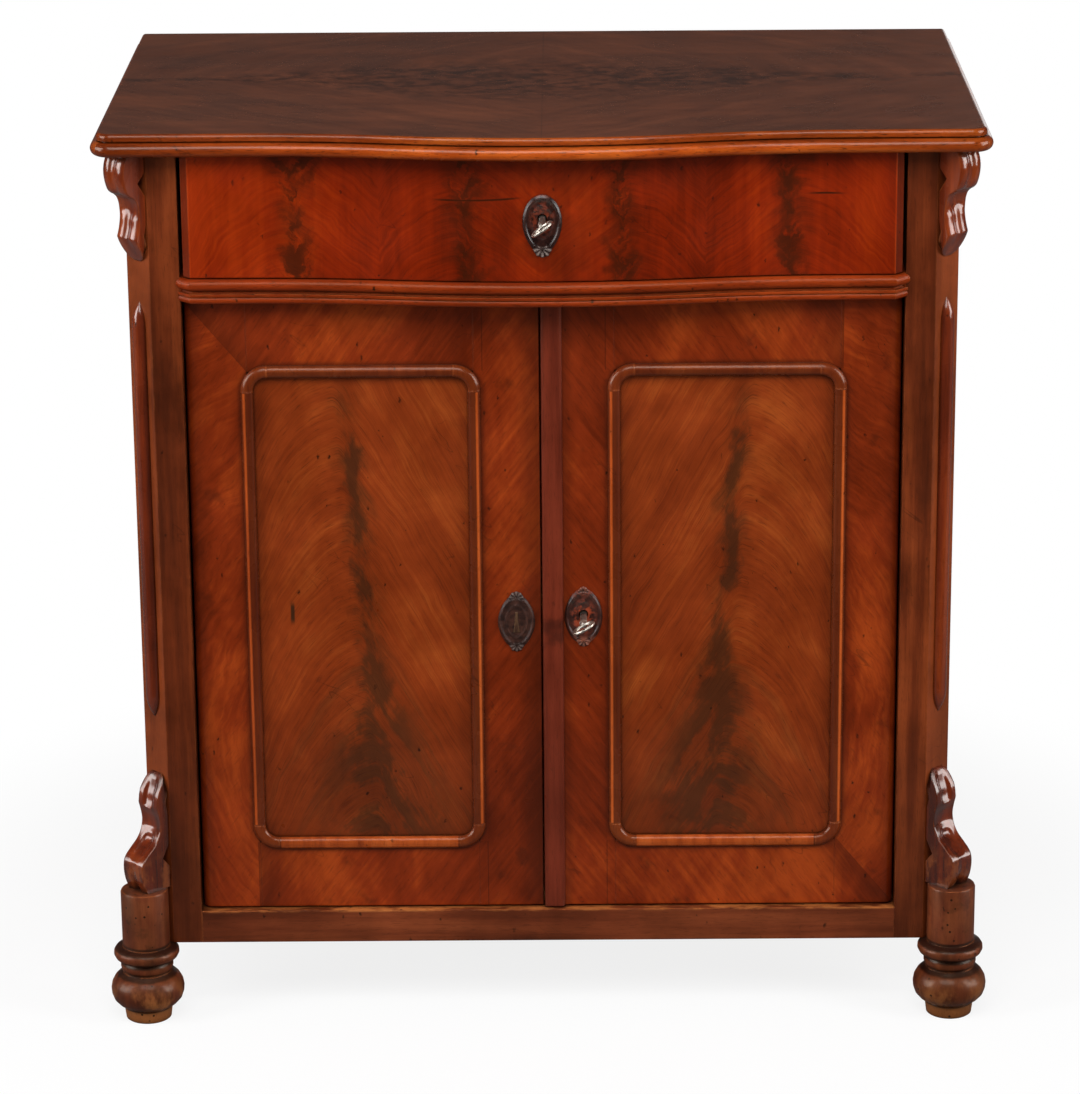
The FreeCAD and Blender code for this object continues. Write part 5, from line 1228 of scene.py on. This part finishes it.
def headMesh(name, radius, height, slotted):
    look = fastenerLook
    rows, count, floor = len(look["dome"]), look["turns"], height * look["slotFloor"]
    points = []
    for wide, rise in look["dome"]:
        level = height * rise
        for angle in turns(count):
            px, py = math.cos(angle) * radius * wide, math.sin(angle) * radius * wide
            inSlot = slotted and abs(py) < radius * look["slotHalf"] and level > floor
            points.append((px, py, floor if inSlot else level))
    return newMesh(name, points, ringFaces(rows, count) + endFaces(rows, count), look["shade"])


def turnBoth(tree, tilt, spin):
    roll, lean = [addNode(tree, "FunctionNodeEulerToRotation", {}, {
        "Euler": addNode(tree, "ShaderNodeCombineXYZ", {}, {axis: angle}).outputs[0]}).outputs[0]
        for axis, angle in (("Z", spin), ("X", tilt))]
    return addNode(tree, "FunctionNodeRotateRotation", {"rotation_space": "GLOBAL"}, {
        "Rotation": roll, "Rotate By": lean}).outputs[0]


def makeScatterTree():
    tree = bpy.data.node_groups.new("fastenerRow", "GeometryNodeTree")
    for label, kind in (("Geometry", "Geometry"), ("Head", "Object"), ("Tilt", "Float"), ("Seed", "Int"),
                        ("Finish", "Material")):
        tree.interface.new_socket(label, in_out="INPUT", socket_type="NodeSocket" + kind)
    tree.interface.new_socket("Geometry", in_out="OUTPUT", socket_type="NodeSocketGeometry")
    takes = addNode(tree, "NodeGroupInput").outputs
    gives = addNode(tree, "NodeGroupOutput").inputs
    dots = addNode(tree, "GeometryNodeMeshToPoints", {}, {"Mesh": takes["Geometry"]})
    head = addNode(tree, "GeometryNodeObjectInfo", {}, {"Object": takes["Head"]})
    spin = addNode(tree, "FunctionNodeRandomValue", {"data_type": "FLOAT"}, {"Seed": takes["Seed"], 3: circle})
    placed = addNode(tree, "GeometryNodeInstanceOnPoints", {}, {
        "Points": dots.outputs[0], "Instance": head.outputs["Geometry"],
        "Rotation": turnBoth(tree, takes["Tilt"], spin.outputs[1])})
    real = addNode(tree, "GeometryNodeRealizeInstances", {}, {"Geometry": placed.outputs[0]})
    done = addNode(tree, "GeometryNodeSetMaterial", {}, {"Geometry": real.outputs[0], "Material": takes["Finish"]})
    feed(gives["Geometry"], done.outputs[0])
    return tree


scatterTree = makeScatterTree()


def scatter(name, spots, head, tilt, seed, material, body):
    carrier = bpy.data.meshes.new(name + "Spots")
    carrier.from_pydata(spots, [], [])
    source = addObject(name + "Source", head)
    holder = addObject(name + "Holder", carrier)
    tool = holder.modifiers.new("fasteners", "NODES")
    tool.node_group = scatterTree
    wanted = {"Head": source, "Tilt": tilt, "Seed": seed, "Finish": material}
    for item in scatterTree.interface.items_tree:
        if item.in_out == "INPUT" and item.name in wanted:
            tool[item.identifier] = wanted[item.name]
    bpy.context.view_layer.update()
    depsgraph = bpy.context.evaluated_depsgraph_get()
    mesh = bpy.data.meshes.new_from_object(holder.evaluated_get(depsgraph), depsgraph=depsgraph)
    mesh.name = name
    holder.modifiers.clear()
    bpy.data.objects.remove(holder)
    bpy.data.objects.remove(source)
    thing = addObject(name, mesh)
    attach(thing, body)
    return thing


def screwSpots(node):
    low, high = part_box(node)
    inset, out = fastenerLook["screwRadius"], fastenerLook["screwHeight"]
    return [(x, high.y - out, z) for x in (low.x + inset, high.x - inset) for z in (low.z + inset, high.z - inset)]


def nailSpots():
    look = fastenerLook
    low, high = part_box("back_boards")
    levels = (low.z + look["nailInset"], look["shelfLevel"], high.z - look["nailInset"])
    ends = look["nailEnds"]
    rows = [-ends]
    for seam in pineLook["boards"]:
        rows += [seam - look["nailPair"], seam + look["nailPair"]]
    return [(x, high.y, level) for x in rows + [ends] for level in levels]


screwHead = headMesh("screwHead", fastenerLook["screwRadius"], fastenerLook["screwHeight"], True)
nailHead = headMesh("nailHead", fastenerLook["nailRadius"], fastenerLook["nailHeight"], False)
for node, name, body in (("drawer_lock_screws", "drawerLockScrews", "drawer"),
                         ("right_door_lock_screws", "rightLockScrews", "right_door")):
    screwsMade = scatter(name, screwSpots(node), screwHead, -quarter, fastenerLook["seed"], iron, body)
    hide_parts(node)
scatter("backBoardNails", nailSpots(), nailHead, -quarter, fastenerLook["seed"], iron, "case")
print("screws and nails placed")


# Materials of the CAD pieces that are shown as they are, iron where none is named

shown = {
    "top_board": topWood, "corner_post_left": postWood, "corner_post_right": postWood, "side_panel_left": sideWood,
    "side_panel_right": sideWood, "plinth_rail": plinthWood, "drawer_rail": waistWood, "back_boards": pineBack,
    "bottom_board": pineAcross, "dust_board": pineAcross, "shelf": pineAcross, "shelf_cleats": pineDeep,
    "drawer_runners": pineDeep, "drawer_stops": pineAcross, "door_stops": pineUp, "rear_feet": plinthWood,
    "drawer_side_left": pineDeep, "drawer_side_right": pineDeep, "drawer_back": pineAcross,
    "drawer_bottom": pineAcross,
}
for side, word in sides:
    shown[word + "_door_panel"] = panelWoods[side]
    for part in ("_door_hinge_stile", "_door_meeting_stile", "_door_rails"):
        shown[word + part] = frameWoods[side]
for name, thing in nodes.items():
    if not thing.hide_render:
        setMaterial(thing, shown.get(name, iron))
print("carried pieces finished")


# Floor, light and camera. Glossy rays see a dark studio with a strip behind and a box at each side

stageLook = {"half": 4.0, "front": -0.9, "back": 3.4, "shadow": 0.16, "fade": (0.85, 0.5), "grey": (0.17, 0.2),
             "pale": 0.9}
lightLook = {
    "key": {"place": (-0.2, -2.3, 2.9), "size": (2.4, 1.6), "power": 74},
    "left": {"place": (-2.7, -1.4, 1.5), "size": (0.9, 2.2), "power": 50},
    "right": {"place": (2.7, -1.4, 1.5), "size": (0.9, 2.2), "power": 50},
}
lightAim = Vector((0, -0.1, 0.42))
cameraLook = {"place": (0.0229, -3.9297, 1.6765), "pitch": 17.929, "roll": -0.367, "lens": 141.17, "sensor": 36,
              "shift": -0.0274}
ambient = {"level": 0.25, "glossy": 0.06, "strip": 1.1, "stripX": (0.1, 0.15, 0.3, 0.4), "stripZ": (0.17, 0.1),
           "boxes": 8.0, "boxX": 0.6, "boxY": (-0.36, -0.3, 0.06, 0.1), "boxZ": (0.02, 0.06, 0.45, 0.55)}


def grey(level):
    return (level, level, level, 1)


def makeFloor():
    look = stageLook
    half, front, back = look["half"], look["front"], look["back"]
    mesh = bpy.data.meshes.new("floor")
    mesh.from_pydata([(-half, front, 0), (half, front, 0), (half, back, 0), (-half, back, 0)], [], [(0, 1, 2, 3)])
    floor = addObject("floor", mesh)
    material, place = newMaterial("paleFloor")
    tree = material.node_tree
    seen = addNode(tree, "ShaderNodeLightPath").outputs["Is Camera Ray"]
    near = span(lengthOf(place), *look["fade"])
    share = times(seen, minus(1.0, times(near, look["shadow"])))
    colour = blendTone(cloud(place, 30, 2), grey(look["grey"][0]), grey(look["grey"][1]))
    colour = blendTone(seen, colour, grey(look["pale"]))
    matte = addNode(tree, "ShaderNodeBsdfDiffuse", {}, {"Color": colour})
    white = addNode(tree, "ShaderNodeEmission", {}, {"Color": grey(1), "Strength": 1.0})
    finishMaterial(material, "ShaderNodeMixShader", {0: share, 1: matte.outputs[0], 2: white.outputs[0]})
    mesh.materials.append(material)


def makeWorld():
    look = ambient
    world = bpy.data.worlds.new("studio")
    bpy.context.scene.world = world
    world.use_nodes = True
    tree = world.node_tree
    tree.nodes.clear()
    rays = addNode(tree, "ShaderNodeLightPath").outputs
    seen = most(rays["Is Camera Ray"], rays["Is Transmission Ray"])
    x, y, z = split(addNode(tree, "ShaderNodeTexCoord").outputs["Generated"])
    strip = times(window(x, look["stripX"]), span(sizeOf(z), *look["stripZ"]), above(y, 0.0))
    boxes = times(above(sizeOf(x), look["boxX"]), window(y, look["boxY"]), window(z, look["boxZ"]))
    glow = plus(blend((strip, look["strip"]), (boxes, look["boxes"])), look["glossy"])
    level = blendValue(rays["Is Glossy Ray"], look["level"], glow)
    sky = addNode(tree, "ShaderNodeBackground", {}, {"Color": grey(1), "Strength": blendValue(seen, level, 1.0)})
    addNode(tree, "ShaderNodeOutputWorld", {}, {0: sky.outputs[0]})


def makeLights():
    for name, look in lightLook.items():
        lamp = bpy.data.lights.new(name + "Light", "AREA")
        lamp.shape = "RECTANGLE"
        lamp.size, lamp.size_y = look["size"]
        lamp.energy = look["power"]
        thing = addObject(name + "Light", lamp)
        thing.location = look["place"]
        thing.rotation_mode = "QUATERNION"
        thing.rotation_quaternion = (lightAim - Vector(look["place"])).to_track_quat("-Z", "Y")


def makeCamera():
    look = cameraLook
    data = bpy.data.cameras.new("photoCamera")
    data.lens = look["lens"]
    data.sensor_width = look["sensor"]
    data.shift_x = look["shift"]
    camera = addObject("photoCamera", data)
    pitch = Matrix.Rotation(math.radians(90 - look["pitch"]), 4, "X")
    roll = Matrix.Rotation(math.radians(look["roll"]), 4, "Z")
    camera.matrix_world = Matrix.Translation(look["place"]) @ pitch @ roll
    bpy.context.scene.camera = camera


makeFloor()
makeWorld()
makeLights()
makeCamera()
bpy.context.scene.view_settings.view_transform = "Standard"
print("studio ready")
